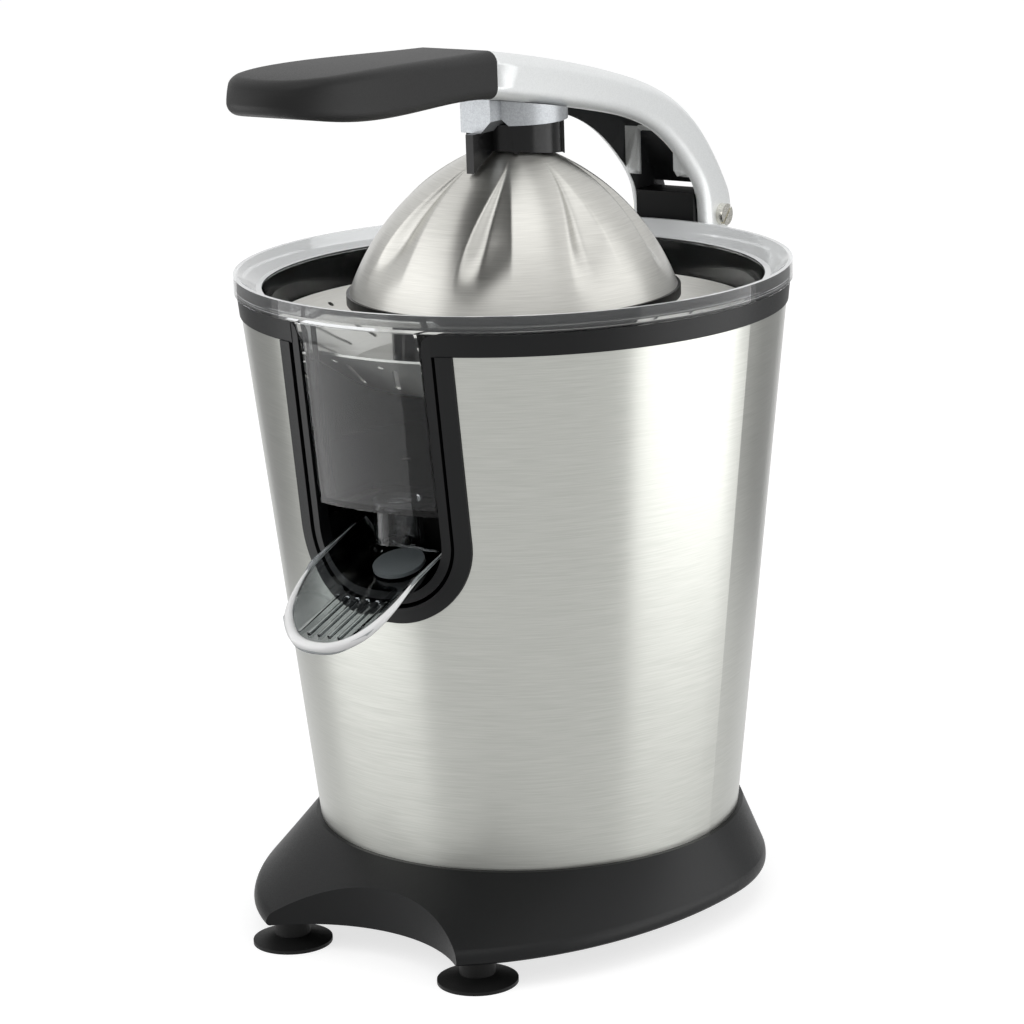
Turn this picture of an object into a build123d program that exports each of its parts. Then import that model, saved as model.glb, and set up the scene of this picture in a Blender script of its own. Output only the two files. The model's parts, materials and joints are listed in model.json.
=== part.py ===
"""Electric lever citrus press, built as separate named pieces.

Millimetres. Z is up and the table is z = 0. The drive axis is the Z axis,
the spout faces -Y and the lever hinge is at the back, on +Y.
"""
import math
import os

from build123d import *

# Fits shared by all pieces
overrun = 2.0           # how far a cutter passes beyond what it cuts
run_gap = 0.05          # radial gap of a shaft in its bush
seat_gap = 0.1          # gap between curved faces that sit together
slip_gap = 0.3          # gap between pieces that pass each other

# Steel body
joint_z = 29.6          # where the shell stands on the base
shell_top_z = 208.5
shell_bottom_r = 73.5
shell_top_r = 92.8
shell_wall = 0.8

# Collar between the shell and the bowl's rim
collar_height = 7.5
collar_top_z = shell_top_z + collar_height
collar_proud = 0.6
collar_width = 4.8
collar_inner_r = shell_top_r - collar_width
collar_skirt = 6.5
collar_corner = 5.0

# Notch in the front, its trim and its frame
trim_half = 34.0
tub_depth = 68.5
tub_floor_z = collar_top_z - tub_depth
notch_below = 31.0
trim_bottom_z = tub_floor_z - notch_below
trim_corner = 29.0
trim_width = 6.5
trim_lap = 3.0
trim_proud = 1.0
frame_width = 3.0
frame_depth = 5.0
frame_proud = 0.4

# Recess behind the frame
recess_wall = 1.8
recess_top_z = tub_floor_z

# Base
base_bottom_z = 9.5
base_lip = 3.5
base_lip_round = 1.4
base_brow_round = 5.0
base_top_proud = 1.7
base_top_r = shell_bottom_r + base_top_proud
base_side_flare = 9.8
base_front_flare = 41.8
base_back_flare = 1.3
base_half_width = base_top_r + base_side_flare
base_front_reach = base_top_r + base_front_flare
base_back_reach = base_top_r + base_back_flare
base_wall = 3.0
base_deck = 3.0
base_ledge = 15.5
base_deck_hole_r = shell_bottom_r - base_ledge
arch_r = 57.0
arch_inset = 28.5
arch_inset_y = base_front_reach - arch_inset
spigot_height = 5.0
spigot_wall = 2.5
plate_thick = 2.5
plate_lift = 1.0
base_screw_side_insets = (40.0, 27.0)
base_screw_end_insets = (55.0, 46.5)
base_screw_ys = (base_screw_end_insets[0] - base_front_reach, base_back_reach - base_screw_end_insets[1])
base_screw_places = [(side * (base_half_width - inset), y)
                     for inset, y in zip(base_screw_side_insets, base_screw_ys) for side in (1, -1)]
base_boss_r = 4.5

# Feet
foot_side_insets = (47.0, 41.0)
foot_end_insets = (26.5, 28.5)
foot_ys = (foot_end_insets[0] - base_front_reach, base_back_reach - foot_end_insets[1])
foot_places = [(side * (base_half_width - inset), y)
               for inset, y in zip(foot_side_insets, foot_ys) for side in (1, -1)]
foot_r = 13.5
foot_edge = 1.2
foot_thick = 3.2
foot_neck_r = 6.0
foot_stud_r = 3.0
foot_barb_r = 4.6
foot_barb = 2.0
foot_cup_r = 9.5
foot_cup = 1.0

# Cord inlet at the back of the base
inlet_rise = 10.9
inlet_z = base_bottom_z + inlet_rise
inlet_recess = 6.0
inlet_face_y = base_back_reach - inlet_recess
inlet_bore_r = 3.6
inlet_r = 5.4
inlet_flange_r = 6.8
inlet_flange = 2.0
inlet_length = 16.0
inlet_pad_half = 7.4

# Inner tub that holds the bowl
tub_floor = 2.5
tub_taper_share = 0.300518
tub_top_r = collar_inner_r
tub_bottom_r = tub_top_r - tub_taper_share * (shell_top_r - shell_bottom_r)
tub_wall = 1.6
tub_lip = 2.8
hub_drop = 26.0
hub_top_z = collar_top_z - hub_drop
hub_below = 6.7
hub_bottom_z = tub_floor_z - hub_below
hub_r = 8.5

# Juice bowl
bowl_lift = 6.5
bowl_floor_z = tub_floor_z + bowl_lift
bowl_wall = 2.0
bowl_gap = 0.4
bowl_overhang = 2.2
bowl_rim_r = shell_top_r + bowl_overhang
bowl_rim_rise = 6.0
bowl_rim_z = collar_top_z + bowl_rim_rise
bowl_rim_land = 1.5
bowl_rim_dip = 5.0
chimney_r = 11.0
chimney_over = 6.0
chimney_top_z = hub_top_z + chimney_over
chimney_shoulder_r = 14.0
chimney_neck = 11.0
chimney_shoulder_z = chimney_top_z - chimney_neck
window_inset = 0.6
window_ridge_rise = 0.5
window_ridge_z = shell_top_z + window_ridge_rise
outlet_inset = 10.2
outlet_y = -(tub_bottom_r - outlet_inset)
outlet_r = 8.2
outlet_wall = 1.5
outlet_drop = 12.8
outlet_bottom_z = bowl_floor_z - outlet_drop
recess_room = 28.5
recess_back_y = outlet_y + recess_room

# Strainer and its hub
strainer_wall = 0.8
strainer_gap = 4.8
strainer_lip_r = tub_top_r - strainer_gap
strainer_drop = 12.0
strainer_lip_z = collar_top_z - strainer_drop
strainer_run = 25.2
strainer_flat_r = strainer_lip_r - strainer_run
strainer_fall = 17.0
strainer_flat_z = strainer_lip_z - strainer_fall
slot_count = 24
slot_length = 20.0
slot_width = 1.8
slot_slant = 28.0
hole_count = 24
hole_r = 1.1
hole_along_share = 0.80
slot_along_share = 0.46
strainer_hub_inset = 18.0
strainer_hub_r = strainer_flat_r - strainer_hub_inset
strainer_hub_rise = 1.0
strainer_hub_top_z = strainer_lip_z + strainer_hub_rise
strainer_hub_wall = 2.0
strainer_hub_flange = 6.0
strainer_hub_flange_r = strainer_hub_r + strainer_hub_flange
hub_rib_count = 24
hub_rib = 2.0

# Reaming cone
cone_ring_r = 57.0
cone_ring_rise = 6.0
cone_ring_z = strainer_lip_z + cone_ring_rise
cone_ring = 3.5
cone_bend_r = 79.4
cone_bend_in = 19.0
cone_bend_drop = 22.8
cone_bend_z = cone_ring_z - cone_bend_drop
cone_shoulder_turn = 68.7
cone_side_shares = (0, 0.25, 0.5, 0.75, 1)
cone_height = 52.4
cone_top_z = cone_ring_z + cone_height
cone_wall = 0.8
flute_count = 8
flute_phase = 23.5
flute_top_out = 13.0
flute_top_rise = 56.4
flute_top = (flute_top_out, cone_ring_z + flute_top_rise)
flute_end_out = 0.2
flute_end_rise = 15.9
flute_end = (cone_ring_r + flute_end_out, cone_ring_z + flute_end_rise)
flute_top_r = 3.6
flute_end_r = 10.4
core_boss_r = 10.5
core_boss_gap = 4.0
core_boss_low_z = chimney_top_z + core_boss_gap
core_boss_rise = 28.0
core_boss_top_z = cone_ring_z + core_boss_rise
core_web = 2.0
core_rib = 2.0
core_rib_count = 6
core_rib_r = 40.0
core_rib_rise = 12.0

# Drive shaft and its bushes
shaft_r = 5.0
shaft_short = 6.0
shaft_top_z = core_boss_top_z - shaft_short
shaft_hex_rise = 6.0
shaft_hex_z = core_boss_low_z + shaft_hex_rise
shaft_collar_r = 9.0
shaft_collar = 3.0
bush_r = 6.5
top_bush_length = 18.0
seal_r = 8.4
seal_height = 3.0

# Cone press travel, thrust carrier, spring and switch
carrier_drop = 6.8
carrier_z = hub_bottom_z - carrier_drop
carrier_thick = 3.5
carrier_r = 14.0
carrier_arm_half = 4.0
guide_x = -17.5
guide_r = 2.0
guide_rise = 9.0
guide_top_z = carrier_z + guide_rise
spring_mean_r = 11.0
spring_wire_r = 0.7
spring_turns = 5
switch_x = 30.0
switch_size = (18.0, 10.0, 10.5)
plunger_r = 1.6
plunger_depth = 5.5
plunger_floor = 2.0

# Gear train
gear_module = 1.0
gear_slack = 0.25
output_teeth = 48
small_teeth = 12
large_teeth = 40
pinion_teeth = 10
tip_height_share = 1.0
root_depth_share = 1.2
tip_half_share = 0.10
root_half_share = 0.30
carrier_room = 16.0
gearbox_top_z = carrier_z - carrier_room
gearbox_cover = 17.0
gearbox_split_z = gearbox_top_z - gearbox_cover
gearbox_tray = 15.0
gearbox_low_z = gearbox_split_z - gearbox_tray
output_drop = 14.0
output_low_z = gearbox_top_z - output_drop
shaft_end = 1.0
shaft_low_z = output_low_z - shaft_end
output_thick = 8.0
large_rise = 6.0
large_low_z = gearbox_low_z + large_rise
large_thick = 6.0
small_drop = 4.5
small_top_z = gearbox_top_z - small_drop
axle_r = 2.5
gear_room = 2.0
gearbox_wall = 2.5
gearbox_plate = 3.0
axle_boss_r = 5.0
bush_boss = 6.0
flange_half_x = 47.0
flange_front_y = -18.0
flange_back_y = 52.0
flange_corner = 8.0
post_places = ((40.0, -11.0), (-40.0, -11.0), (40.0, 44.0), (-40.0, 44.0))
post_r = 5.0
ear_places = ((33.0, 4.0), (-33.0, 4.0), (29.5, 34.0), (-29.5, 34.0))
ear_r_gearbox = 5.0
ear_height = 6.0

# Motor
motor_r = 30.0
motor_height = 62.0
motor_low_z = gearbox_low_z - motor_height
motor_wall = 2.0
motor_bush_r = 5.0
motor_bush = 6.0
rotor_r = 17.5
rotor_shaft_r = 3.0
air_gap = 0.5
core_drop = 50.0
core_low_z = gearbox_low_z - core_drop
core_height = 36.0
core_top_z = core_low_z + core_height
motor_screw_r = 16.0

# Screws
screw_r = 1.6
screw_head_r = 3.2
screw_head = 2.0

# Lever hinge and its bracket
hinge_reach = 17.0
hinge_y = bowl_rim_r + hinge_reach
hinge_z = bowl_rim_z
bracket_half = 12.0
knuckle_r = 9.0
bracket_gap = 5.0
bracket_front_y = bowl_rim_r + bracket_gap
bracket_heel = 2.0
bracket_back_y = hinge_y - bracket_heel
bracket_step = 2.5
bracket_step_z = shell_top_z - bracket_step
bracket_foot_height = 54.0
bracket_foot_z = bracket_step_z - bracket_foot_height
bracket_foot_in = 3.0
bracket_foot_y = bowl_rim_r - bracket_foot_in
bracket_screw_rises = (16.0, 40.0)
bracket_screw_heights = [bracket_foot_z + rise for rise in bracket_screw_rises]
pin_r = 2.5
pin_head_r = 3.9
pin_head = 2.6
pin_slot = 1.0
pin_slot_depth = 1.2
nut_r = 4.6
nut_thick = 3.0
hinge_bush_r = 4.0
hinge_bush = 7.0
hinge_bush_flange_r = 6.5
hinge_bush_flange = 0.3

# Lever arm
arm_half = 16.5
cheek = 4.0
arm_roof = 4.0
arm_back = 3.0
arm_ear_r = 10.0
arm_front_y = -30.0
arm_front_rise = 35.6
arm_front_top_z = cone_top_z + arm_front_rise
arm_front_deep = 16.0
arm_front_under_z = arm_front_top_z - arm_front_deep
arm_top_shares = ((0.558, 0.774), (0.908, 0.467), (1.046, 0.158))
arm_under_shares = ((0.449, 0.628), (0.730, 0.453), (0.874, 0.237))
arm_start_slope = -0.17
arm_edge_round = 4.5
arm_nose = 8.0
arm_tail_rise = 10.5
arm_tail_z = hinge_z + arm_tail_rise
arm_rib = 2.5
arm_rib_back = 18.0
arm_rib_y = hinge_y - arm_rib_back
arm_rib_reach = 5.0
arm_rib_rise = 4.0
arm_rib_low_z = hinge_z + arm_rib_rise

# Grip on the arm's tang
grip_length = 110.0
grip_tip_y = arm_front_y - grip_length
grip_half = 21.5
grip_side_shares = ((0.27, 0.88), (0.62, 1.0), (0.85, 0.90), (0.965, 0.56))
grip_top_rise = 7.8
grip_top_z = arm_front_top_z + grip_top_rise
grip_tip_drop = 1.2
grip_tip_top_z = grip_top_z - grip_tip_drop
grip_tip_deep = 12.6
grip_tip_under_z = grip_tip_top_z - grip_tip_deep
grip_top_shares = ((0.45, 0.71), (0.80, 1.0))
grip_under_shares = ((0.45, 0.23), (0.80, 0.47))
grip_round = 4.0
tang_half = 9.0
tang_thick = 6.0
tang_length = 80.0
tang_drop = 8.5
tang_z = arm_front_top_z - tang_drop
tang_tilt = 5.0
tang_root = 6.0
grip_screw_shares = (0.35, 0.85)
grip_screw_drop = 4.5
grip_screw_low_z = tang_z - grip_screw_drop
grip_screw_reach = 12.0

# Presser under the arm
mount_r = 18.0
mount_over = 8.1
mount_z = cone_top_z + mount_over
lobe_half = 6.0
lobe_front_y = -19.6
lobe_drop = 1.8
lobe_z = mount_z - lobe_drop
lobe_bevel = 4.0
presser_y = 4.0         # the presser sits this far behind the cone's axis
mount_stem_r = 9.0
mount_stem = 2.0
mount_stem_z = arm_front_under_z + mount_stem
presser_r = 15.6
presser_gap = 1.2
presser_deep = 20.5
presser_low_z = mount_z - presser_deep
fin_r = 23.5
fin = 3.0
grip_rib = 1.8
grip_rib_proud = 1.0
grip_rib_turns = (-56.0, 34.0, 124.0, 214.0)
presser_roof = 2.5
presser_screw_top_z = 282.0

# Spout, its stopper and its pins
spout_pivot_back = 22.0
spout_pivot_y = outlet_y + spout_pivot_back
spout_pivot_drop = 7.2
spout_pivot_z = outlet_bottom_z - spout_pivot_drop
spout_rest_tilt = 17.0
spout_floor_h = 4.8
spout_wall = 1.8
spout_reach = 74.0
spout_root = 9.0
spout_half = 23.0
spout_bend = 18.0
spout_neck = 46.0
spout_rim_h = 14.5
spout_tip_rim_h = 5.6
spout_rim_flat = 40.0
spout_rib_count = 6
spout_rib = 1.1
spout_rib_room = 20.0
spout_rib_from = 44.0
spout_rib_to = 67.0
spout_lug = 3.5
spout_lug_x = 12.0
spout_lug_r = 4.2
spout_lug_top_h = 8.0
spout_lug_run = 17.0
spout_pin_r = 2.0
spout_pin_out = 25.0
stopper_r = 8.8
stopper_neck_r = 4.5
stopper_top_h = 6.9
stopper_thick = 1.3


def turned(*points):
    """Solid of revolution about Z from (radius, height) points."""
    return revolve(Plane.XZ * make_face(Polyline(*points, close=True)), Axis.Z)


def rod(radius, low, high, x=0, y=0):
    """Upright cylinder between two heights."""
    base = (Align.CENTER, Align.CENTER, Align.MIN)
    return Pos(x, y, low) * Cylinder(radius, high - low, align=base)


def pipe(outer, inner, low, high, x=0, y=0):
    """Upright tube between two heights."""
    return rod(outer, low, high, x, y) - rod(inner, low - overrun, high + overrun, x, y)


def cross_rod(radius, x_low, x_high, y, z):
    """Cylinder along X."""
    base = (Align.CENTER, Align.CENTER, Align.MIN)
    return Pos(x_low, y, z) * Rot(0, 90, 0) * Cylinder(radius, x_high - x_low, align=base)


def deep_rod(radius, y_low, y_high, x, z):
    """Cylinder along Y."""
    base = (Align.CENTER, Align.CENTER, Align.MIN)
    return Pos(x, y_low, z) * Rot(-90, 0, 0) * Cylinder(radius, y_high - y_low, align=base)


def block(x_low, x_high, y_low, y_high, z_low, z_high):
    """Box between two corners."""
    corner = (Align.MIN, Align.MIN, Align.MIN)
    return Pos(x_low, y_low, z_low) * Box(x_high - x_low, y_high - y_low, z_high - z_low, align=corner)


def screw_up(x, y, head_low, tip):
    """Screw with its head below and its tip above."""
    return rod(screw_head_r, head_low, head_low + screw_head, x, y) + rod(screw_r, head_low, tip, x, y)


def screw_down(x, y, head_top, tip):
    """Screw with its head above and its tip below."""
    return rod(screw_head_r, head_top - screw_head, head_top, x, y) + rod(screw_r, tip, head_top, x, y)


def shell_r(z):
    """Outer radius of the steel shell at a height."""
    slope = (shell_top_r - shell_bottom_r) / (shell_top_z - joint_z)
    return shell_bottom_r + (z - joint_z) * slope


def shell_cone(grow, low, high):
    """Solid cone that follows the shell, grown outwards."""
    return turned((0, low), (shell_r(low) + grow, low), (shell_r(high) + grow, high), (0, high))


def shell_layer(outer_grow, inner_grow, low, high):
    """Thin cone that follows the shell."""
    return shell_cone(outer_grow, low, high) - shell_cone(inner_grow, low - overrun, high + overrun)


def notch_prism(shrink, top):
    """The notch's outline, narrowed all round, pushed out through the front."""
    half = trim_half - shrink
    low = trim_bottom_z + shrink
    outline = Pos(0, (low + top) / 2) * Rectangle(2 * half, top - low)
    outline = fillet(outline.vertices().sort_by(Axis.Y)[:2], trim_corner - shrink)
    return extrude(Plane.XZ * outline, amount=bowl_rim_r + overrun)


notch_shrink = trim_width - trim_lap
frame_outer = trim_width + seat_gap
frame_inner = frame_outer + frame_width


# Base

def base_outline(grow):
    """Plan of the base: a long half ellipse in front, a round back."""
    width = base_half_width + grow
    front = EllipticalCenterArc((0, 0), width, base_front_reach + grow, 180, arc_size=180)
    back = EllipticalCenterArc((0, 0), width, base_back_reach + grow, 0, arc_size=180)
    return make_face([front, back])


def ring_outline(radius):
    """Circle drawn as two halves, to match the base's plan."""
    front = CenterArc((0, 0), radius, 180, 180)
    back = CenterArc((0, 0), radius, 0, 180)
    return make_face([front, back])


def base_flare(grow, drop):
    """Flared body of the base, with its upright lip below."""
    lip_top = base_bottom_z + base_lip
    top = joint_z - drop
    flare = loft([Pos(0, 0, lip_top) * base_outline(grow), Pos(0, 0, top) * ring_outline(base_top_r + grow)],
                 ruled=True)
    lip = extrude(Pos(0, 0, base_bottom_z) * base_outline(grow), amount=base_lip)
    return flare + lip


def arch_cutter(grow):
    """Upright cylinder that hollows the front between the feet."""
    return rod(arch_r + grow, 0, joint_z + overrun, 0, -(arch_inset_y + arch_r))


def make_base_housing():
    solid = base_flare(0, 0)
    lip_top = base_bottom_z + base_lip
    brow = [edge for edge in solid.edges() if abs(edge.center().Z - lip_top) < run_gap]
    solid = fillet(brow, base_brow_round)
    low_edges = solid.faces().sort_by(Axis.Z)[0].edges()
    solid = fillet(low_edges, base_lip_round)
    cavity = base_flare(-base_wall, base_deck) - arch_cutter(base_wall)
    floor_cut = extrude(Pos(0, 0, base_bottom_z - overrun) * base_outline(-base_wall), amount=2 * overrun)
    cavity = cavity + (floor_cut - arch_cutter(base_wall))
    housing = solid - arch_cutter(0) - cavity
    housing = housing - rod(base_deck_hole_r, base_bottom_z, joint_z + overrun)
    spigot_r = shell_r(joint_z) - shell_wall - slip_gap
    housing = housing + pipe(spigot_r, spigot_r - spigot_wall, joint_z, joint_z + spigot_height)
    seat = base_bottom_z + plate_lift + plate_thick
    for x, y in base_screw_places:
        boss = rod(base_boss_r, seat, joint_z, x, y) & solid
        housing = housing + boss - rod(screw_r + run_gap, seat - overrun, joint_z - base_deck, x, y)
    pad_back = inlet_face_y + overrun
    pad = block(-inlet_pad_half, inlet_pad_half, inlet_face_y - base_wall, pad_back,
                seat, joint_z - base_deck) & solid
    flat = block(-inlet_pad_half, inlet_pad_half, inlet_face_y, base_back_reach + overrun,
                 inlet_z - inlet_pad_half, inlet_z + inlet_pad_half)
    housing = housing + pad - flat
    hole = deep_rod(inlet_r + run_gap, inlet_face_y - 2 * inlet_length, inlet_face_y + overrun, 0, inlet_z)
    return housing - hole


def make_base_plate():
    low = base_bottom_z + plate_lift
    shrink = -(base_wall + slip_gap)
    plate = extrude(Pos(0, 0, low) * base_outline(shrink), amount=plate_thick)
    plate = plate - arch_cutter(base_wall + slip_gap)
    for x, y in foot_places:
        plate = plate - rod(foot_stud_r + seat_gap, low - overrun, low + plate_thick + overrun, x, y)
    for x, y in base_screw_places:
        plate = plate - rod(screw_r + seat_gap, low - overrun, low + plate_thick + overrun, x, y)
    return plate


def make_feet():
    low = base_bottom_z + plate_lift
    top = low + plate_thick
    feet = []
    for x, y in foot_places:
        foot = turned((0, foot_cup), (foot_cup_r, 0), (foot_r, 0), (foot_r, foot_edge),
                      (foot_neck_r, foot_thick), (foot_neck_r, low), (foot_stud_r, low),
                      (foot_stud_r, top), (foot_barb_r, top), (foot_stud_r, top + foot_barb),
                      (0, top + foot_barb))
        feet.append(Pos(x, y, 0) * foot)
    return Compound(children=feet)


def make_base_screws():
    low = base_bottom_z + plate_lift
    tip = joint_z - base_deck - overrun
    return Compound(children=[screw_up(x, y, low - screw_head, tip) for x, y in base_screw_places])


def make_cord_inlet():
    flange_back = inlet_face_y + inlet_flange
    body = deep_rod(inlet_r, flange_back - inlet_length, flange_back, 0, inlet_z)
    flange = deep_rod(inlet_flange_r, inlet_face_y, flange_back, 0, inlet_z)
    bore = deep_rod(inlet_bore_r, flange_back - inlet_length - overrun, flange_back + overrun, 0, inlet_z)
    return body + flange - bore


# Steel shell, trim, collar and recess

def make_steel_shell():
    shell = shell_layer(0, -shell_wall, joint_z, shell_top_z)
    shell = shell - notch_prism(notch_shrink, shell_top_z + overrun)
    for z in bracket_screw_heights:
        shell = shell - deep_rod(screw_r + seat_gap, shell_bottom_r, shell_top_r + overrun, 0, z)
    return shell


def make_notch_trim():
    band = notch_prism(0, shell_top_z) - notch_prism(trim_width, shell_top_z + overrun)
    low = trim_bottom_z - overrun
    outer = band & shell_layer(trim_proud, seat_gap, low, shell_top_z)
    lip = notch_prism(notch_shrink + slip_gap, shell_top_z) - notch_prism(trim_width, shell_top_z + overrun)
    inner = lip & shell_layer(trim_proud, -frame_depth, low, shell_top_z)
    return outer + inner


def make_top_collar():
    skirt_low = shell_top_z - collar_skirt
    skirt_r = shell_r(skirt_low) - shell_wall - slip_gap
    top_r = shell_r(collar_top_z) + collar_proud
    ring = turned((collar_inner_r, skirt_low), (skirt_r, skirt_low), (skirt_r, shell_top_z),
                  (shell_top_r + collar_proud, shell_top_z), (top_r, collar_top_z),
                  (collar_inner_r, collar_top_z))
    ring = ring - notch_prism(frame_outer, collar_top_z + overrun)
    skirt_cut = notch_prism(notch_shrink, shell_top_z)
    ring = ring - (skirt_cut & rod(bowl_rim_r, skirt_low - overrun, shell_top_z))
    frame = notch_prism(frame_outer, collar_top_z) - notch_prism(frame_inner, collar_top_z + overrun)
    frame = frame & shell_layer(frame_proud, -frame_depth, trim_bottom_z, collar_top_z)
    collar = ring + frame
    half = trim_half - frame_inner
    shoulder_z = collar_top_z - collar_corner
    shoulder = block(-half - collar_corner, half + collar_corner, -bowl_rim_r - overrun, 0,
                     shoulder_z, collar_top_z + overrun)
    for x in (-half - collar_corner, half + collar_corner):
        shoulder = shoulder - deep_rod(collar_corner, -bowl_rim_r - 2 * overrun, overrun, x, shoulder_z)
    return collar - shoulder


def make_spout_recess():
    front_limit = shell_cone(-frame_depth - slip_gap, trim_bottom_z, recess_top_z)
    behind = block(-trim_half, trim_half, -bowl_rim_r, recess_back_y, trim_bottom_z, recess_top_z)
    outer = notch_prism(frame_outer, recess_top_z) & front_limit & behind
    inner = notch_prism(frame_outer + recess_wall, recess_top_z + overrun)
    inner = inner & block(-trim_half, trim_half, -bowl_rim_r, recess_back_y - recess_wall,
                          trim_bottom_z, recess_top_z + overrun)
    recess = outer - inner
    return recess - cross_rod(spout_pin_r + run_gap, -trim_half, trim_half, spout_pivot_y, spout_pivot_z)


def make_inner_tub():
    lip_z = shell_top_z - collar_skirt
    wall_in_low = tub_bottom_r - tub_wall
    floor_top = tub_floor_z + tub_floor
    tub = turned((bush_r + run_gap, tub_floor_z), (tub_bottom_r, tub_floor_z),
                 (tub_top_r, lip_z - tub_lip), (tub_top_r + tub_lip, lip_z - tub_lip),
                 (tub_top_r + tub_lip, lip_z), (tub_top_r - tub_wall, lip_z),
                 (wall_in_low, floor_top), (bush_r + run_gap, floor_top))
    tub = tub + pipe(hub_r, bush_r + run_gap, hub_bottom_z, hub_top_z)
    half = trim_half - notch_shrink + slip_gap
    tub = tub - block(-half, half, -bowl_rim_r, recess_back_y, tub_floor_z - overrun, lip_z + overrun)
    for x, y in post_places:
        tub = tub - rod(screw_r + run_gap, tub_floor_z - overrun, floor_top + overrun, x, y)
    return tub


# Juice bowl, strainer and cone

def tub_inner_r(z):
    """Inner radius of the tub's wall at a height."""
    lip_z = shell_top_z - collar_skirt
    floor_top = tub_floor_z + tub_floor
    rise = (z - floor_top) / (lip_z - floor_top)
    return tub_bottom_r - tub_wall + rise * (tub_top_r - tub_bottom_r)


def window_prism(shrink):
    """Outline of the clear wall that fills the notch above the recess."""
    half = trim_half - frame_inner - slip_gap - shrink
    low = bowl_floor_z + shrink
    wall = block(-half, half, -bowl_rim_r, 0, low, collar_top_z)
    limit = shell_cone(-window_inset - shrink, bowl_floor_z, collar_top_z)
    ridge_r = shell_r(window_ridge_z) - window_inset
    brow = turned((0, window_ridge_z), (ridge_r - shrink, window_ridge_z),
                  (bowl_rim_r - shrink, collar_top_z), (0, collar_top_z))
    return wall & (limit + brow)


def make_juice_bowl():
    out_low = tub_inner_r(bowl_floor_z) - bowl_gap
    out_high = tub_inner_r(collar_top_z) - bowl_gap
    floor_top = bowl_floor_z + bowl_wall
    in_high = out_high - bowl_wall
    dip_z = bowl_rim_z - bowl_rim_dip
    outer = turned((0, bowl_floor_z), (out_low, bowl_floor_z), (out_high, collar_top_z),
                   (bowl_rim_r, collar_top_z), (bowl_rim_r, bowl_rim_z),
                   (bowl_rim_r - bowl_rim_land, bowl_rim_z), (out_high, dip_z),
                   (in_high, dip_z), (0, dip_z))
    inner = turned((0, floor_top), (out_low - bowl_wall, floor_top), (in_high, collar_top_z),
                   (in_high, bowl_rim_z + overrun), (0, bowl_rim_z + overrun))
    bowl = outer + window_prism(0)
    bowl = bowl - inner - window_prism(bowl_wall)
    bowl = bowl + rod(chimney_shoulder_r, bowl_floor_z, chimney_shoulder_z)
    bowl = bowl + rod(chimney_r, bowl_floor_z, chimney_top_z)
    bowl = bowl - rod(hub_r + slip_gap, bowl_floor_z - overrun, chimney_top_z + overrun)
    bowl = bowl + rod(outlet_r, outlet_bottom_z, floor_top, 0, outlet_y)
    return bowl - rod(outlet_r - outlet_wall, outlet_bottom_z - overrun, floor_top + overrun, 0, outlet_y)


def strainer_point(share):
    """Point on the strainer's sloping wall, from its flat to its lip."""
    radius = strainer_flat_r + share * (strainer_lip_r - strainer_flat_r)
    height = strainer_flat_z + share * (strainer_lip_z - strainer_flat_z)
    return radius, height


def strainer_tool(tool, share, slant, angle):
    """A cutter stood square on the strainer's wall and turned round the axis."""
    radius, height = strainer_point(share)
    lean = math.degrees(math.atan2(strainer_lip_z - strainer_flat_z, strainer_lip_r - strainer_flat_r))
    return Rot(0, 0, angle) * Pos(radius, 0, height) * Rot(0, -lean, 0) * Rot(0, 0, slant) * tool


def make_strainer():
    top = strainer_wall
    dish = turned((strainer_hub_r + seat_gap, strainer_flat_z), (strainer_flat_r, strainer_flat_z),
                  (strainer_lip_r, strainer_lip_z), (strainer_lip_r, strainer_lip_z + top),
                  (strainer_flat_r, strainer_flat_z + top),
                  (strainer_hub_r + seat_gap, strainer_flat_z + top))
    depth = 2 * overrun
    slot = extrude(SlotOverall(slot_length, slot_width), amount=depth, both=True)
    hole = Cylinder(hole_r, 2 * depth)
    cutters = []
    for n in range(slot_count):
        cutters.append(strainer_tool(slot, slot_along_share, slot_slant, 360 * n / slot_count))
    for n in range(hole_count):
        cutters.append(strainer_tool(hole, hole_along_share, 0, 360 * n / hole_count))
    return dish - cutters


def make_strainer_hub():
    low = strainer_flat_z - strainer_hub_wall
    inner_r = strainer_hub_r - strainer_hub_wall
    bore = chimney_r + slip_gap
    hub = turned((bore, low), (strainer_hub_flange_r, low), (strainer_hub_flange_r, strainer_flat_z),
                 (strainer_hub_r, strainer_flat_z), (strainer_hub_r, strainer_hub_top_z),
                 (inner_r, strainer_hub_top_z), (inner_r, strainer_flat_z), (bore, strainer_flat_z))
    rib_low = strainer_flat_z + strainer_wall + slip_gap
    ribs = []
    for n in range(hub_rib_count):
        rib = block(strainer_hub_r - hub_rib / 2, strainer_hub_r + hub_rib, -hub_rib / 2, hub_rib / 2,
                    rib_low, strainer_hub_top_z)
        ribs.append(Rot(0, 0, 360 * n / hub_rib_count) * rib)
    return hub + ribs


def cone_base_turn(shrink):
    """Angle on the dome's bend where the dome meets its ring."""
    return math.asin((cone_ring_z + cone_ring - cone_bend_z) / (cone_bend_r - shrink))


def cone_r(shrink):
    """Radius of the dome where it meets its ring."""
    return (cone_bend_r - shrink) * math.cos(cone_base_turn(shrink)) - cone_bend_in


def cone_dome(shrink):
    """Plain dome of the cone, shrunk all over."""
    base_z = cone_ring_z + cone_ring
    low = cone_base_turn(shrink)
    high = math.radians(cone_shoulder_turn)
    reach = cone_bend_r - shrink
    spots = []
    for share in cone_side_shares:
        turn = low + share * (high - low)
        spots.append((reach * math.cos(turn) - cone_bend_in, cone_bend_z + reach * math.sin(turn)))
    top = (0, cone_top_z - shrink)
    side = Spline(*spots, top, tangents=((-math.sin(low), math.cos(low)), (-1, 0)))
    spine = Polyline(top, (0, base_z), spots[0])
    return revolve(Plane.XZ * make_face([*side.edges(), *spine.edges()]), Axis.Z)


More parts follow.
